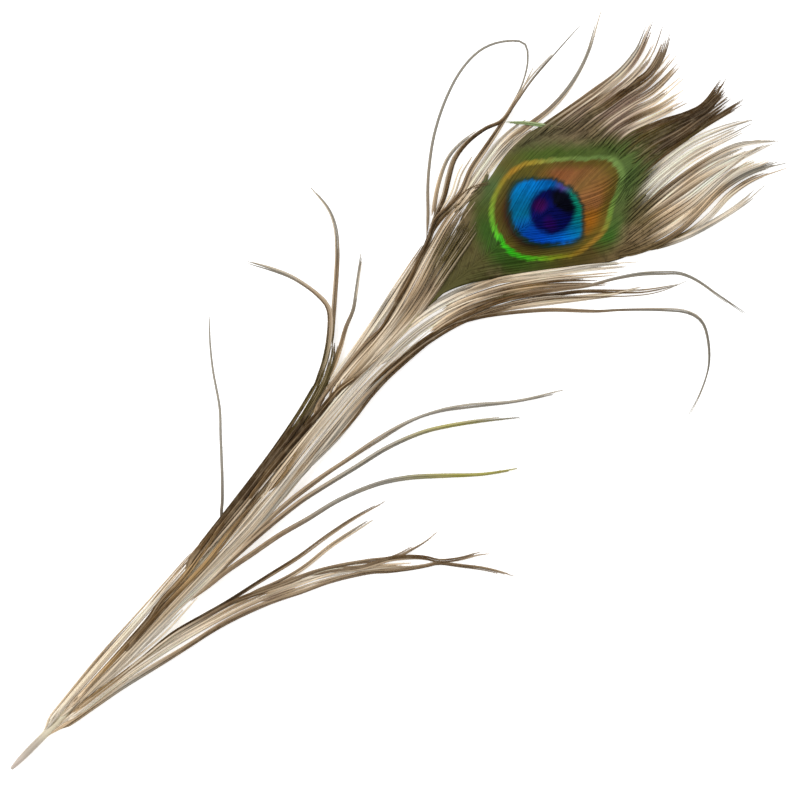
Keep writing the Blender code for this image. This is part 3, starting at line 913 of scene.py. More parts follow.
# %% Guides
@dataclass
class Guide:
    """The course of one strand and the barbs that follow it, in millimetres and shares."""

    points: tuple  # the course, from root to tip
    spread: tuple  # half the width over which the barbs lie, at the root and at the tip
    barbs: int
    colours: str  # from root to tip
    rise: float = 0.0  # how high it arches
    peak: float = 0.5  # where along it the arch is highest
    tip: float = 0.0  # how high its tip stands
    lift: float = 0.0  # how far it lies over its neighbours
    late: float = 0.08  # the share of it by which the last barb has started
    shortest: float = 0.8  # the share of it at which the first barb may end
    pale: float = 0.45  # how far every third barb turns to cream
    size: float = 1.0  # of the barbs, against that of the others


print("what a guide says:", ", ".join(Guide.__annotations__))

# %% Families of barbs
COURSE_STEPS = 300
STEP_LENGTH = 1.7  # millimetres between the points of a loose barb
FEWEST_STEPS, MOST_STEPS = 20, 90
ROOT_DISTANCE = 3.5  # a barb that starts this near the shaft grows out of it
ROOTING = 7.0  # millimetres over which a barb bends out of the shaft's side
ROOT_DEPTH = 0.8  # where its root sits, as a share of the shaft's radius
WAVE_LENGTH = (24, 50)  # millimetres
WAVE = 0.1  # millimetres, sideways and up
LOFT = (-0.2, 0.7)  # scatter of the barbs' heights in a wide strand, in millimetres
LOWEST_LINE = 0.16


def family(g):
    """Lines of a guide's barbs, as (barbs, steps, 3) in feather millimetres.

    Each barb is a stretch of the course, moved sideways by its own share of the spread and
    by two sine waves, and then raised to where it rests."""
    course = smooth_line(g.points, COURSE_STEPS)
    length = distances(course[None])[0, -1]
    steps = int(np.clip(length / STEP_LENGTH, FEWEST_STEPS, MOST_STEPS))
    first = draw.uniform(0, g.late, g.barbs) * (np.arange(g.barbs) > 0)
    last = draw.uniform(g.shortest, 1, g.barbs)
    last[0] = 1.0
    share = first[:, None] + (last - first)[:, None] * np.linspace(0, 1, steps)
    slope = np.gradient(course, axis=0)
    slope /= np.linalg.norm(slope, axis=1, keepdims=True)
    place = share * (COURSE_STEPS - 1)
    x, y, slope_x, slope_y = (np.interp(place, np.arange(COURSE_STEPS), column)
                              for column in (*course.T, *slope.T))

    # sideways
    across = np.linspace(-1, 1, g.barbs) if g.barbs > 1 else np.zeros(1)
    across = draw.permutation(across + draw.normal(0, 0.1, g.barbs))
    width = g.spread[0] + (g.spread[1] - g.spread[0]) * share
    phase = draw.uniform(0, 2 * np.pi, (3, g.barbs, 1))
    waves = 2 * np.pi * length / draw.uniform(*WAVE_LENGTH, (2, g.barbs, 1))
    sway = np.sin(waves[0] * share + phase[0]) + 0.6 * np.sin(waves[1] * share + phase[1])
    leave = smoothstep((share - first[:, None]) * length / ROOTING)
    rooted = np.abs(y[:, :1] - shaft_at(x[:, :1])[0]) < ROOT_DISTANCE
    offset = across[:, None] * width + WAVE * sway * (0.3 + share)
    offset = offset * np.where(rooted, leave, 1)
    x, y = x - slope_y * offset, y + slope_x * offset

    # out of the shaft's side
    middle, shaft_height, shaft_radius = shaft_at(x[:, :1])
    root = middle + np.sign(y[:, :1] - middle) * shaft_radius * ROOT_DEPTH
    y = np.where(rooted, y * leave + root * (1 - leave), y)

    # up to where it rests
    bend = share ** (np.log(0.5) / np.log(g.peak))
    height = barb_height(x, y) + g.rise * np.sin(np.pi * bend) ** 2 + g.tip * share**3
    height = np.maximum(height, web_cover(x, y))
    loft = draw.uniform(*LOFT, (g.barbs, 1)) * np.minimum(1, 0.3 + width) + g.lift
    height = height + loft + WAVE * np.sin(waves[1] * share + phase[2])
    height = np.where(rooted, height * leave + shaft_height * (1 - leave), height)
    return np.stack([x, y, np.maximum(height, LOWEST_LINE)], 2)


# %% Tints and growth
TONE_SPREAD = 0.5  # the lightest barb is e to this power times as light as the middle one
BARB_HALF_WIDTH, BARB_FLATNESS = 0.34, 0.4  # millimetres, and height over width
HOOK_LENGTH = 0.72  # millimetres
HOOK_PALENESS = 0.75  # light comes through the hooks, so they are paler than their hair


def tints_along(g, steps):
    """Tints for a family: the named colours blended from root to tip, each barb lighter or
    darker, its tone kept in the fourth column, and about the lightest third turned towards
    cream, as where its hooks catch the light."""
    colours = np.array([PALETTE[name] for name in g.colours.split()])
    stops, share = np.linspace(0, 1, len(colours)), np.linspace(0, 1, steps)
    line = np.stack([np.interp(share, stops, column) for column in colours.T], 1)
    tone = (draw.permutation(g.barbs) + draw.uniform(0.25, 0.65, g.barbs)) / g.barbs
    tone = tone[:, None, None]
    tinted = line * np.exp(TONE_SPREAD * (tone - 0.5) * 2)
    cream = g.pale * smoothstep((tone - 0.6) / 0.15)
    tinted = tinted * (1 - cream) + PALETTE["cream"] * cream
    return np.clip(np.concatenate([tinted, np.broadcast_to(tone, (g.barbs, steps, 1))], 2), 0, 1)


def grow(guides, spacing=0.3, start=0.0, tip_keep=0.5, thinning=0.5):
    """Chunks of ribbons and combs for a table of guides.

    A barb swells out of its root, loses the share `thinning` of its width towards the tip,
    and narrows fast at its very end."""
    chunks = []
    for g in guides:
        lines = family(g)
        tints = tints_along(g, lines.shape[1])
        share = np.linspace(0, 1, lines.shape[1])
        taper = ((0.15 + 0.85 * smoothstep(share * 14)) * (1 - thinning * share**1.6)
                 * (1 - 0.7 * share**24))
        width = np.broadcast_to(BARB_HALF_WIDTH * g.size * taper, lines.shape[:2])
        chunks.append(ribbons(lines, tints, width, width * BARB_FLATNESS))
        pull = HOOK_PALENESS * g.pale * np.array([1, 1, 1, 0])
        hooks = tints + ((*PALETTE["cream"], 1) - tints) * pull
        chunks.append(comb(lines, hooks, spacing, HOOK_LENGTH * g.size, start, tip_keep))
    print("barbs:", sum(g.barbs for g in guides), "on", len(guides), "guides")
    return chunks


# %% [markdown]
# ## The loose barbs' finish
#
# The loose barbs take their colour from the tint that each point carries. Left plain, they
# would look like wire. So short pale dashes follow each barb, as its hooks turn one way and
# the other. The crown's barbs start in the colours of the vane and turn to their own, which
# is why this finish is a node group too.

# %% Barb materials
DASHES = 0.2  # strength of the pale dashes
CROWN_TURN = (0.08, 0.36)  # shares of the length where the crown's own colours start and are full


def barb_map():
    """Node group: a barb's own tint with short pale dashes, and how far along it a point is.
    It takes the strength of the dashes."""
    given = {"Colour": "Color", "Share": "Float"}
    group, strength, output = node_group("barb_map", "Dashes", given)
    share, distance, _ = attribute(group, "weave", "Vector").split()
    tone = attribute(group, "tint", "Alpha")
    dashes = noise(add_node(group, "CombineXYZ", {0: distance * 2.6, 1: tone * 40}), 1)
    mask = dashes.ramp(0.45, 0.75) * strength
    connect(output.inputs["Colour"], blend(mask, attribute(group, "tint"), srgb(206, 186, 152)))
    connect(output.inputs["Share"], share)
    return group


def barb_material(name, turn=None):
    """Loose barbs in their own colours. Where a turn is given, they start in the vane's."""
    made, tree, shader = fresh_material(name, {"Roughness": 0.6, "Specular IOR Level": MATT})
    colour, share = use_group(tree, barb_group, DASHES)
    if turn:
        vane = use_group(tree, eye_group, BARB_SHIFT)[0]
        colour = blend(share.ramp(*turn), vane, colour)
    connect(shader.inputs["Base Color"], colour)
    return made


barb_group = barb_map()
loose = barb_material("loose_barbs")
crown = barb_material("crown_barbs", CROWN_TURN)
print("nodes in the barb map:", len(barb_group.nodes))

# %% [markdown]
# ## The crown
#
# Past the eye the barbs come free of the vane. They part into a long upper tuft, a dark
# middle one that tapers to a fork, and a pale lower one. One wide tuft of random barbs
# would look like a brush, so the guides' points are read from the photograph on the
# feather's own ruler, strand by strand. Each keyword after a guide changes one habit of
# its barbs, and habits that many guides share have a name.

# %% Guides of the crown
RAGGED = dict(late=0.12, shortest=0.66)
LOOSE = dict(late=0.12, shortest=0.77)
FORK = dict(late=0.2, shortest=0.88, pale=0.15)
CROWN_GUIDES = (
    # two loose curls beside the upper tuft
    Guide(((203, 23.2), (212, 22.6), (217, 25.2), (224, 26.6), (232, 25.6), (241, 24.4),
           (250, 25.1), (260, 28), (271, 34)), (0.5, 0.2), 3, "brown tan taupe silver silver",
          rise=0.4, tip=1.5, size=1.3),
    Guide(((240, 17.6), (237.4, 21), (233.4, 26.2), (229.4, 30.2)), (0.3, 0.2), 3,
          "green sage sage sage", rise=0.8, tip=0.8, pale=0.1),
    # the upper tuft
    Guide(((226, 22.8), (236, 22), (244, 20.6), (252, 19.2), (262, 18), (270, 18.8), (277, 21.6)),
          (0.8, 0.5), 7, "umber umber brown taupe taupe silver silver", tip=1.6, **RAGGED),
    Guide(((232, 20.4), (244, 19), (252, 17.8), (262, 16.6), (270, 17.4), (279, 21)),
          (0.9, 0.5), 7, "umber mauve brown cream mauve taupe", tip=2, **RAGGED),
    Guide(((236, 18), (246, 16.6), (254, 15.4), (264, 14.2), (272, 15), (280, 18.6)),
          (0.9, 0.6), 7, "umber mauve tan mauve cream mauve", tip=2.6, **RAGGED),
    Guide(((238, 16.4), (247, 15.2), (253, 13.6), (262, 12.4), (268, 11.4), (274, 12.8),
           (279.6, 15.8)), (0.8, 1.1), 11, "umber brown brown dark brown taupe taupe", tip=1.2,
          lift=0.4, pale=0.2, late=0.25, shortest=0.84),
    # the thin barbs under it
    Guide(((240, 13.6), (249, 12.6), (258, 11.2), (266, 9.8), (277, 10.6)),
          (1, 0.7), 8, "umber mauve mauve taupe tan", tip=0.8, **LOOSE),
    Guide(((240, 11.4), (250, 10.6), (258, 9), (266, 7.2), (276, 7.2)),
          (1, 0.6), 7, "umber mauve mauve taupe tan", tip=0.4, **LOOSE),
    Guide(((241, 9), (250, 8.8), (257, 7.4), (264, 5), (274, 4)),
          (1, 0.6), 7, "umber mauve mauve cream tan", tip=0.2, **LOOSE),
    Guide(((242, 6.6), (250, 7), (257, 5.2), (264, 2.6), (272, 1)),
          (1, 0.5), 6, "umber mauve brown tan cream", **LOOSE),
    Guide(((243, 4.4), (251, 4.8), (258, 2.6), (264, 0.4), (270, -1.6)),
          (0.8, 0.5), 6, "umber mauve cream cream tan", **LOOSE),
    # the dark fork
    Guide(((240, 3), (251, 2.4), (260, -0.8), (267, -4.3), (273, -6), (282, -4.6)),
          (1.2, 0.7), 13, "umber umber brown dark brown brown", rise=1, tip=2.4, **FORK),
    Guide(((240, 0.4), (252, -0.6), (262, -3.6), (272, -6.8), (280.5, -6.4)),
          (1.3, 0.9), 13, "umber umber umber dark dark brown", rise=1.6, tip=3.2, **FORK),
    Guide(((240, -2.6), (253, -3.4), (264, -6), (279, -8)),
          (1.4, 1), 12, "umber umber dark brown dark brown", rise=1.2, tip=2, **FORK),
    Guide(((239, -4.8), (253, -5.4), (265, -7.8), (279, -10)),
          (1.3, 1), 11, "umber umber dark brown dark brown", rise=0.8, tip=1.4, **FORK),
    Guide(((239, -6.4), (253, -6.9), (264, -8.9), (274, -11.2), (281.5, -13.2)),
          (0.9, 0.7), 9, "umber umber brown umber brown brown", rise=0.6, tip=1, **FORK),
    # the ivory wisps under the fork
    Guide(((238, -8), (252, -8.8), (262, -10.4), (271, -13.8), (280, -18.5)),
          (0.8, 0.4), 3, "umber ivory ivory silver", tip=0.6, **LOOSE),
    Guide(((234, -10.4), (249, -10.8), (261, -12.4), (270, -15.4), (279, -18.6)),
          (1.2, 0.6), 4, "umber ivory ivory ivory silver", **LOOSE),
    Guide(((233, -12.6), (249, -12.8), (261, -14.4), (275, -19)),
          (1.3, 0.6), 5, "umber ivory ivory cream silver", tip=0.8, **LOOSE),
    # the pale lower tuft
    Guide(((232, -14.6), (244, -14.8), (252, -15.6), (262, -17.4), (272, -21), (281, -28)),
          (0.9, 0.5), 7, "umber taupe taupe tan ivory silver", rise=0.8, tip=1.2, **LOOSE),
    Guide(((231, -15.4), (242, -16.2), (252, -17.2), (260, -18.6), (268, -21.2), (278, -26.4)),
          (1, 0.8), 8, "umber tan cream tan ivory silver", rise=0.8, tip=1.4, **LOOSE),
    Guide(((230, -16), (240, -17), (250, -18.7), (258, -20.2), (267, -22.6), (279, -27)),
          (1, 0.7), 10, "umber taupe taupe tan ivory silver", rise=1.2, tip=2, **LOOSE),
    Guide(((229, -17.6), (240, -18.8), (251, -21), (260, -22.2), (272, -24.2)),
          (1.1, 0.8), 10, "umber gold tan ivory ivory silver", rise=0.8, tip=1.6, **LOOSE),
    Guide(((228, -18.8), (239, -20.8), (250, -23), (262, -23.8), (275, -26)),
          (1.2, 0.9), 10, "umber taupe tan cream ivory tan", rise=0.8, tip=1.2, **LOOSE),
    Guide(((225, -18.4), (231, -20.8), (239, -23.2), (247, -24.6), (256, -25), (265, -25.6),
           (275, -29.4)), (0.9, 0.9), 9, "umber tan cream tan cream ivory cream", rise=0.6, tip=1,
          **LOOSE),
    Guide(((225, -18.8), (229, -21.4), (233, -23.4), (238.4, -25.4), (244.6, -26.5), (251, -26.6),
           (257, -26.4), (262, -26.8), (268, -28.4), (273.5, -31), (278.5, -34)), (0.5, 0.7), 9,
          "umber dark brown brown taupe tan tan taupe grey grey grey", rise=0.6, tip=0.8,
          lift=0.3, pale=0.15, late=0.2, shortest=0.86),
    Guide(((236, -25.6), (244, -28.4), (252, -29.2), (260, -29), (268, -30.6), (277, -35)),
          (0.6, 0.5), 6, "taupe cream ivory cream taupe taupe", tip=0.8, **LOOSE),
    Guide(((231, -22.4), (238, -26.4), (245, -29.4), (254, -32), (261.5, -33.4), (269, -34)),
          (0.5, 0.8), 5, "tan ivory silver ivory silver", rise=0.3, tip=0.3, pale=0.7, **LOOSE),
)
print("guides of the crown:", len(CROWN_GUIDES))

# %% The crown piece
crown_chunks = grow(CROWN_GUIDES, spacing=0.48, start=0.12, thinning=0.55, tip_keep=0.65)
add_piece("crown_barbs", crown_chunks, crown, "eye_vane")

# %% [markdown]
# ## The left side
#
# The left side has the dark bundle that crosses the shaft, a spray of thin curls, the flank
# that runs into the vane and the great loop. The bundle's dark barbs lie over the pale ones
# of the base, so its guides are lifted a little. A guide that curls off the table has a rise
# and a tip height instead.

# %% Guides of the bundle
BUNDLE_GUIDES = (
    # the pale base, left of the quill
    Guide(((12.5, 0.8), (18, 2.4), (30, 3.7), (42, 4.7), (56, 5.5), (70, 6.2), (80, 6.8)),
          (0.15, 0.4), 2, "cream tan taupe tan taupe", late=0.03),
    Guide(((12, 0.7), (20, 1.8), (36, 3), (52, 4), (66, 5), (84, 6.4), (96, 8)),
          (0.4, 0.9), 4, "ivory cream cream ivory tan brown", pale=0.6, late=0.05),
    Guide(((20, 0.7), (30, 0.9), (40, 1.3), (50, 1.8), (58, 2.3), (66, 3.6), (74, 3.9), (84, 5.4),
           (98, 7.6)), (0.3, 0.6), 4, "cream tan gold brown brown brown gold brown dark",
          lift=0.5, pale=0.15),
    Guide(((40, 0.6), (50, 1.2), (62, 1.8), (72, 2), (82, 2.3), (92, 3.6), (102, 4.6), (112, 5.6)),
          (0.4, 0.7), 4, "tan brown brown gold gold brown brown", lift=0.4, pale=0.15),
    Guide(((17, 0.3), (26, 0.5), (40, 0.4), (60, 0.4), (80, 1.4), (98, 2.6), (112, 4), (126, 6.2)),
          (0.3, 0.9), 5, "cream cream tan cream tan cream tan", pale=0.6),
    # the dark bundle over the shaft
    Guide(((72, 4.2), (88, 5.4), (100, 6.4), (114, 7.8), (128, 9), (142, 9.8)),
          (0.7, 0.9), 7, "tan brown taupe brown gold brown"),
    Guide(((72, 5.2), (84, 6.6), (94, 7.8), (104, 9.1), (116, 10.8), (128, 13), (137, 15.3),
           (144, 17.8), (150, 21.2)), (0.5, 0.8), 9, "tan brown dark dark dark dark umber umber",
          lift=0.8, pale=0.05),
    Guide(((80, 5), (92, 6.8), (106, 8.5), (118, 10), (128, 11.6), (137, 13.7), (144.5, 16.4),
           (151, 20)), (0.8, 0.7), 11, "gold brown dark dark dark umber umber", lift=0.7, pale=0.1),
    Guide(((98, 6.2), (110, 7.8), (122, 9), (133, 9.5), (142, 10.3), (149, 9.4), (158, 9)),
          (0.9, 0.5), 8, "brown brown dark dark dark brown tan", lift=0.5, pale=0.05),
    Guide(((112, 8.4), (124, 10), (133, 11.4), (142, 13.2)), (0.8, 0.9), 5,
          "dark umber umber umber gold"),
    Guide(((120, 9.4), (130, 11.2), (137, 12.9), (143, 15.6), (148, 18.8), (151.6, 22.4)),
          (0.7, 0.5), 5, "dark dark umber umber umber taupe", late=0.2, pale=0.1),
    Guide(((104, 3.8), (116, 5.2), (128, 6.8), (142, 8), (156, 8.8), (172, 10.4), (184, 12.4)),
          (0.8, 1.2), 6, "brown gold cream ivory ivory cream olive", pale=0.7),
    # the lone barb
    Guide(((88.4, 6.8), (94.4, 9.4), (99.4, 14), (105, 20), (109.6, 25), (115, 30.8), (121, 39.4),
           (126.6, 46.4), (131, 51)), (0.1, 0.1), 1, "dark silver silver silver",
          rise=4, tip=1, size=1.3),
    # the spray of curls
    Guide(((137, 15.3), (144, 18.3), (151.2, 23), (156.2, 28), (157, 33.2), (155.6, 41),
           (153, 47.6), (149.6, 54.2)), (0.5, 0.3), 4, "dark umber taupe taupe grey grey",
          rise=5, tip=4, peak=0.6, shortest=0.92),
    Guide(((147, 18.8), (156, 26.4), (160, 29.8), (166, 35), (170, 38.8), (174, 43.6), (176.4, 49),
           (177.3, 56.6)), (0.4, 0.25), 3, "umber taupe taupe grey grey", rise=3, tip=2, peak=0.65,
          shortest=0.92),
    Guide(((136, 13.2), (145, 15.8), (151, 18.6), (156, 21.4), (161, 23.4), (165, 26.2),
           (169, 29.2), (174.5, 33.3)), (0.4, 0.3), 4, "umber gold taupe grey grey", rise=1.5,
          peak=0.7, shortest=0.93),
)
print("guides of the bundle:", len(BUNDLE_GUIDES))

# %% Guides of the left flank
FLANK_GUIDES = (
    # the flank that runs into the vane
    Guide(((128, 10.2), (142, 12.6), (151, 13.6), (157, 14), (163, 14), (170, 15.7), (178, 18),
           (184, 20.4), (190, 22.3), (196, 25), (203, 24.7), (209, 24.2), (214, 21.6)),
          (0.4, 0.4), 4, "tan taupe taupe taupe brown dark brown dark dark brown brown",
          lift=0.6, pale=0.15),
    Guide(((138, 12.6), (150, 14.4), (158, 15.8), (166, 17.4), (174, 19.2), (182, 20.8),
           (189, 22.4), (196, 26)), (0.7, 0.5), 6, "cream ivory cream cream silver cream tan brown",
          pale=0.6),
    Guide(((146, 13), (154, 14.4), (162, 15.6), (170, 17), (178, 19.2), (186, 21.4), (192, 23.4)),
          (0.5, 0.6), 4, "ivory cream ivory cream silver cream", pale=0.6),
    Guide(((136, 10.6), (150, 12), (160, 12.6), (170, 14), (180, 16.8), (190, 19.8), (200, 22.4),
           (209, 23)), (0.8, 1.4), 9, "tan cream tan cream tan cream tan tan", shortest=0.88),
    Guide(((138, 10), (155, 11.2), (168, 12.6), (178, 14.6), (188, 17.8), (198, 20.6), (207, 22)),
          (0.9, 1.3), 8, "taupe tan cream taupe tan umber taupe", shortest=0.88),
    Guide(((142, 9.8), (158, 10.6), (170, 11.6), (180, 13.6), (190, 16.6), (203, 20)),
          (0.8, 1.4), 8, "tan cream tan taupe umber umber", shortest=0.88, pale=0.3),
    Guide(((148, 9.6), (165, 10.2), (177, 11.6), (188, 14.4), (203, 18)),
          (0.7, 1.5), 7, "cream cream tan taupe umber umber", shortest=0.86, pale=0.3),
    Guide(((156, 9.4), (170, 9.9), (180, 11), (190, 13), (202, 15.4)),
          (0.5, 1.3), 6, "tan cream taupe umber umber", shortest=0.8, pale=0.3),
    Guide(((168, 15.4), (178, 18.4), (187, 21.2), (194, 23.8), (202, 24.4), (211, 23)), (0.4, 0.6),
          4, "taupe dark dark dark brown umber", lift=0.5, pale=0.05),
    # the great loop
    Guide(((190, 23), (195, 27.4), (200, 32.4), (205, 36.8), (212, 42), (220, 46.2), (229, 49.2),
           (237, 49.8), (243.4, 47.6), (248.4, 42.8), (246, 38.6), (241, 35.2), (236, 33.2)),
          (0.1, 0.1), 1, "taupe grey grey grey", rise=7, tip=1.2, peak=0.55, size=1.35),
    # the barbs along the vane's left edge
    Guide(((188, 22.4), (196, 25.6), (202, 28), (207, 31), (212, 33.6), (218, 34.3), (224, 33.4),
           (229, 31.6), (236, 32.8), (246, 34.4), (264, 35.2)), (0.5, 0.3), 3,
          "dark dark brown brown dark brown taupe grey silver", rise=2.5, tip=0.8, peak=0.6),
    Guide(((196, 26.4), (203, 31.4), (210, 34.8), (216, 35.4), (222, 34.6)), (0.3, 0.2), 2,
          "taupe tan grey grey", rise=1.5),
    Guide(((198, 25), (206, 25.4), (213, 28), (220, 29.4), (228, 31), (236, 33), (246, 36.6)),
          (0.6, 0.3), 4, "brown taupe taupe brown taupe silver", rise=0.8),
    Guide(((196, 25), (204, 26.8), (210, 29.6), (216, 31)), (0.4, 0.4), 2, "tan cream cream cream",
          rise=0.3),
    Guide(((202, 23.8), (209, 24.8), (216, 26.2), (223, 27.4), (230, 27.2), (236, 25.4)),
          (0.7, 1.2), 10, "tan cream ivory ivory cream silver", rise=0.3, pale=0.6),
    Guide(((201, 22.6), (208, 23.4), (215, 24.5), (222, 25.3), (229, 25.4), (237, 24)),
          (0.7, 0.9), 9, "umber tan cream cream silver cream taupe", rise=0.2, pale=0.6),
)
print("guides of the left flank:", len(FLANK_GUIDES))

# %% The left pieces
add_piece("left_bundle", grow(BUNDLE_GUIDES), loose, "left_barbs")
add_piece("left_flank", grow(FLANK_GUIDES), loose, "left_barbs")

# %% [markdown]
# ## The right side
#
# The right side has the long flank below the eye, which ends in two hooked curls, and stray
# barbs that part from the base, two of them with olive tips. The strays lie free on the
# table and stay strong to their ends. Their combs are kept long there, because a comb that
# shortens as on the other barbs would leave bare wires.

# %% Guides of the right flank
RIGHT_FLANK_GUIDES = (
    # the pale barbs beside the shaft
    Guide(((20, -0.5), (35, -0.6), (55, -0.2), (75, 0.4), (95, 1), (112, 2.4), (128, 4.4),
           (146, 6), (160, 6.2), (169, 5.6)), (0.4, 1.1), 5,
          "tan cream tan cream ivory ivory cream ivory", pale=0.7, shortest=0.93),
    Guide(((24, -0.8), (45, -1), (70, -0.8), (88, -0.8), (100, -0.4), (118, 1.6), (134, 3.6),
           (150, 4.5), (162, 4.4), (172, 4)), (0.4, 0.8), 4,
          "cream cream ivory cream tan ivory cream", pale=0.7, shortest=0.95),
    # the long barb under the eye and the two hooked curls
    Guide(((19, -1), (40, -1.5), (60, -1.2), (80, -1.6), (96, -1), (108, 0), (118, 0.9), (130, 1),
           (140, 1.6), (148, 2.6), (156, 3), (165, 2.4), (172, 1.5), (180, -0.6), (190, -4.8),
           (200, -11.2), (206, -16), (212, -21.8), (219, -28.6), (226, -33.8), (234, -37.4)),
          (0.4, 0.25), 4,
          "tan cream ivory cream cream silver silver brown dark dark brown taupe silver",
          rise=0.6, tip=1, peak=0.8, pale=0.4),
    Guide(((106, -0.8), (120, 1.2), (133, 2.6), (142, 4), (152, 4), (162, 3.4), (170, 2.4),
           (178, 0.4), (185, -3.4), (190, -7), (195, -11), (201, -16.4), (209, -25.2),
           (214, -29.8), (222.2, -38), (226.8, -43.4), (228.1, -48.4), (225.7, -53.6),
           (220.6, -59.2), (214, -62.8), (207.5, -65)),
          (0.4, 0.15), 3, "cream silver tan brown dark brown taupe taupe grey grey grey",
          rise=7.5, tip=0.8, peak=0.78, pale=0.2, shortest=0.94),
    Guide(((146, 4.4), (158, 4.2), (170, 3), (180, 0.4), (190, -3.2), (200, -9), (207, -14),
           (213, -18.8), (219.4, -22.6), (225.4, -26.8), (230, -31), (233.6, -34.8),
           (235.8, -40), (237.4, -48), (239, -56)),
          (0.5, 0.2), 4, "brown dark brown brown taupe grey grey grey", rise=4, tip=2, peak=0.72,
          pale=0.2, shortest=0.94),
    # the flank below the eye
    Guide(((124, 1.6), (138, 3.2), (150, 3.9), (160, 3.4), (170, 2), (180, -0.6), (188, -4),
           (194, -7.4), (200, -11), (206, -15.6)), (0.3, 0.6), 7,
          "silver silver taupe brown dark dark brown brown taupe", lift=0.4, pale=0.25, late=0.35),
    Guide(((150, 6.6), (160, 6.8), (168, 6.4), (174, 5.4), (180, 3.8), (186, 1.6), (192, -1.6),
           (198, -5.4)), (0.6, 0.9), 7, "cream ivory ivory ivory cream cream tan", pale=0.7),
    Guide(((172, 4.8), (180, 3.4), (187, 1.2), (194, -2.2), (200.5, -6.6), (206, -11),
           (212, -16.4), (218, -22)), (0.6, 1.1), 8, "cream tan taupe brown gold brown brown taupe",
          pale=0.3, late=0.25),
    Guide(((172, 3.6), (180, 1.9), (187, -0.8), (194, -4.4), (201, -9), (209, -15.4)),
          (0.5, 0.9), 6, "tan taupe brown umber tan brown", pale=0.3, lift=0.2, late=0.3),
    Guide(((158, 8.6), (168, 8.8), (176, 7.8), (184, 5.6), (191, 2.7), (196.4, 0.1), (201, -3.2),
           (206.5, -7.4), (211, -10.9), (216, -14.6), (221, -18.6), (228, -24.4)), (0.4, 0.8), 9,
          "tan cream ivory cream tan cream cream ivory silver", pale=0.5),
    Guide(((176, 6.4), (184, 3.9), (191, 0.8), (197, -2.6), (203, -6.8), (209, -11.4), (215, -16.6),
           (222, -22.4)), (0.3, 0.6), 5, "cream tan taupe tan cream tan cream", pale=0.5),
    Guide(((168, 9), (176, 8.7), (183, 7), (190, 4.2), (197, -0.4), (204, -5.8), (211, -11.2)),
          (0.4, 0.6), 5, "tan silver silver tan cream umber", pale=0.3),
    Guide(((184, -2), (190, -5.4), (197, -10.4), (204, -15.6), (210, -20.4), (217, -26),
           (224, -30.6)), (0.4, 0.7), 4, "taupe tan cream cream cream silver", pale=0.5),
    Guide(((190, -3.4), (197, -8), (204, -13.4), (210, -18), (214, -21.8), (219, -27), (224, -31.6),
           (232, -37)), (0.4, 0.2), 2, "brown brown dark brown brown taupe silver", pale=0.2),
    Guide(((116, 0.4), (128, 1.6), (138, 2.4), (148, 3.2), (158, 3.3), (166, 2.5)), (0.5, 0.4), 5,
          "cream silver silver taupe dark brown brown", pale=0.3, late=0.2),
)
print("guides of the right flank:", len(RIGHT_FLANK_GUIDES))

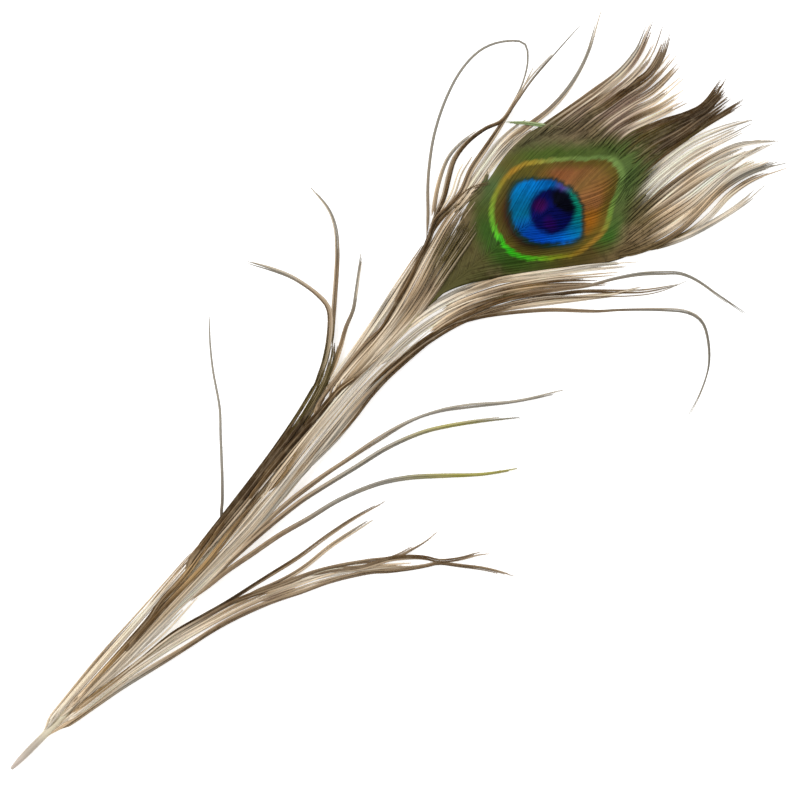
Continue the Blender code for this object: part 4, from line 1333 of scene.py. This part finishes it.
# %% Guides of the strays
STRAY_GUIDES = (
    # the three upper strays, two of them with olive tips
    Guide(((84, -1.5), (105, -1.8), (120, -3.5), (130, -5.4), (140, -7.5), (150, -10.2),
           (158, -14), (165, -19), (175, -27.2), (187, -35)), (0.35, 0.2), 2,
          "tan taupe taupe grey grey grey", rise=0.8, tip=0.6, peak=0.7, pale=0.2, size=1.2,
          shortest=0.96),
    Guide(((74, -1.8), (96, -2.6), (110, -4.1), (120, -6.2), (130, -8.5), (140, -10.9),
           (150, -14.8), (157, -18.9), (164, -24), (173, -31.4)), (0.35, 0.25), 2,
          "tan taupe taupe grey grey olive grey", rise=1.2, tip=0.4, peak=0.7, pale=0.15,
          size=1.3, shortest=0.94),
    Guide(((66, -1.8), (78, -2.9), (84, -3.6), (92, -5.2), (101, -7), (110, -9.4), (120, -11.7),
           (130, -15.8), (138, -21), (146, -28), (154, -35.4), (162, -41.6)), (0.3, 0.25), 2,
          "tan taupe taupe grey grey olive olive", rise=2, tip=0.3, peak=0.65, pale=0.1,
          size=1.4, shortest=0.97),
    # the middle stray and its fork
    Guide(((19, -1), (30, -1.7), (42, -3.3), (50, -4.3), (60, -5.4), (70, -7.9), (78, -10),
           (90, -12.8), (100, -15), (110, -16.6), (120, -18.7), (129, -21.2)), (0.35, 0.3), 3,
          "tan gold brown dark dark brown taupe taupe", tip=0.6, lift=0.3, pale=0.15,
          shortest=0.94, late=0.03),
    Guide(((82, -12.4), (92, -16.4), (100, -18.5), (110, -19.7), (123, -22.3)),
          (0.4, 0.3), 3, "taupe taupe tan grey", rise=0.3, tip=0.2, shortest=0.9),
    # the pale base, right of the quill
    Guide(((15, -0.8), (22, -1.9), (32, -3), (45, -4.9), (60, -7.9), (74, -11.8), (86, -16.2),
           (96, -20.6)), (0.6, 1.1), 6, "cream ivory cream ivory cream tan taupe", late=0.05,
          pale=0.6),
    Guide(((28, -0.9), (40, -1.5), (50, -2.2), (60, -2.7), (72, -2.4)), (0.4, 0.8), 3,
          "tan cream ivory ivory ivory", pale=0.7),
    # the lower strays
    Guide(((20, -1.1), (34, -2.6), (48, -4.4), (60, -6), (70, -8.6), (78, -11), (84, -13.6),
           (90, -16.6), (96, -19.2), (102, -22), (108, -25.8), (114, -30.2), (119, -34.2),
           (125, -36.3), (129, -37.4), (133.2, -37.8)), (0.4, 0.3), 3,
          "tan tan cream cream taupe brown taupe taupe taupe taupe", lift=0.3, pale=0.2, tip=0.8,
          shortest=0.93, size=1.15, late=0.03),
    Guide(((12, -0.7), (20.5, -2.3), (30, -4.1), (40, -6), (50, -8.3), (60, -10.7), (70, -13),
           (78, -15.4), (86, -18.6), (94, -22.8), (101, -26), (106.5, -29), (112, -32.6),
           (115.8, -36.2), (119.8, -39.5), (124.1, -42.6), (127.4, -44.7), (131.3, -49.4),
           (134.8, -53.9), (137.2, -57.8), (139.6, -62.4)), (0.6, 0.3), 4,
          "tan tan silver taupe brown taupe taupe taupe brown brown taupe", tip=0.2,
          shortest=0.94, late=0.02),
    Guide(((98, -20.6), (105, -25), (111, -30), (118, -33.6), (122.3, -37), (125.6, -40.6),
           (127.8, -44.2), (130.9, -46.9), (133.8, -48.8), (136.9, -50.4), (139.6, -52.4)),
          (0.5, 0.25), 3, "taupe taupe taupe brown brown brown taupe", rise=1, tip=1.2, pale=0.3,
          shortest=0.92),
    # the pale barbs between them
    Guide(((84, -14.8), (92, -18.4), (101, -23.2), (109, -28.6), (116, -34.6), (122, -40)),
          (0.7, 0.5), 4, "tan cream ivory cream tan", pale=0.6),
    Guide(((84, -16.6), (92, -20.4), (100, -24.4), (107, -28.6)), (0.8, 0.9), 3,
          "mauve tan cream tan"),
)
print("guides of the strays:", len(STRAY_GUIDES))

# %% The right pieces
add_piece("right_flank", grow(RIGHT_FLANK_GUIDES, spacing=0.32), loose, "right_barbs")
stray_chunks = grow(STRAY_GUIDES, tip_keep=0.9, thinning=0.35)
add_piece("right_strays", stray_chunks, loose, "right_barbs")

# %% Size
meshes = [mesh for mesh in bpy.data.meshes if "weave" in mesh.attributes]
print("triangles in all:", sum(len(mesh.polygons) for mesh in meshes))
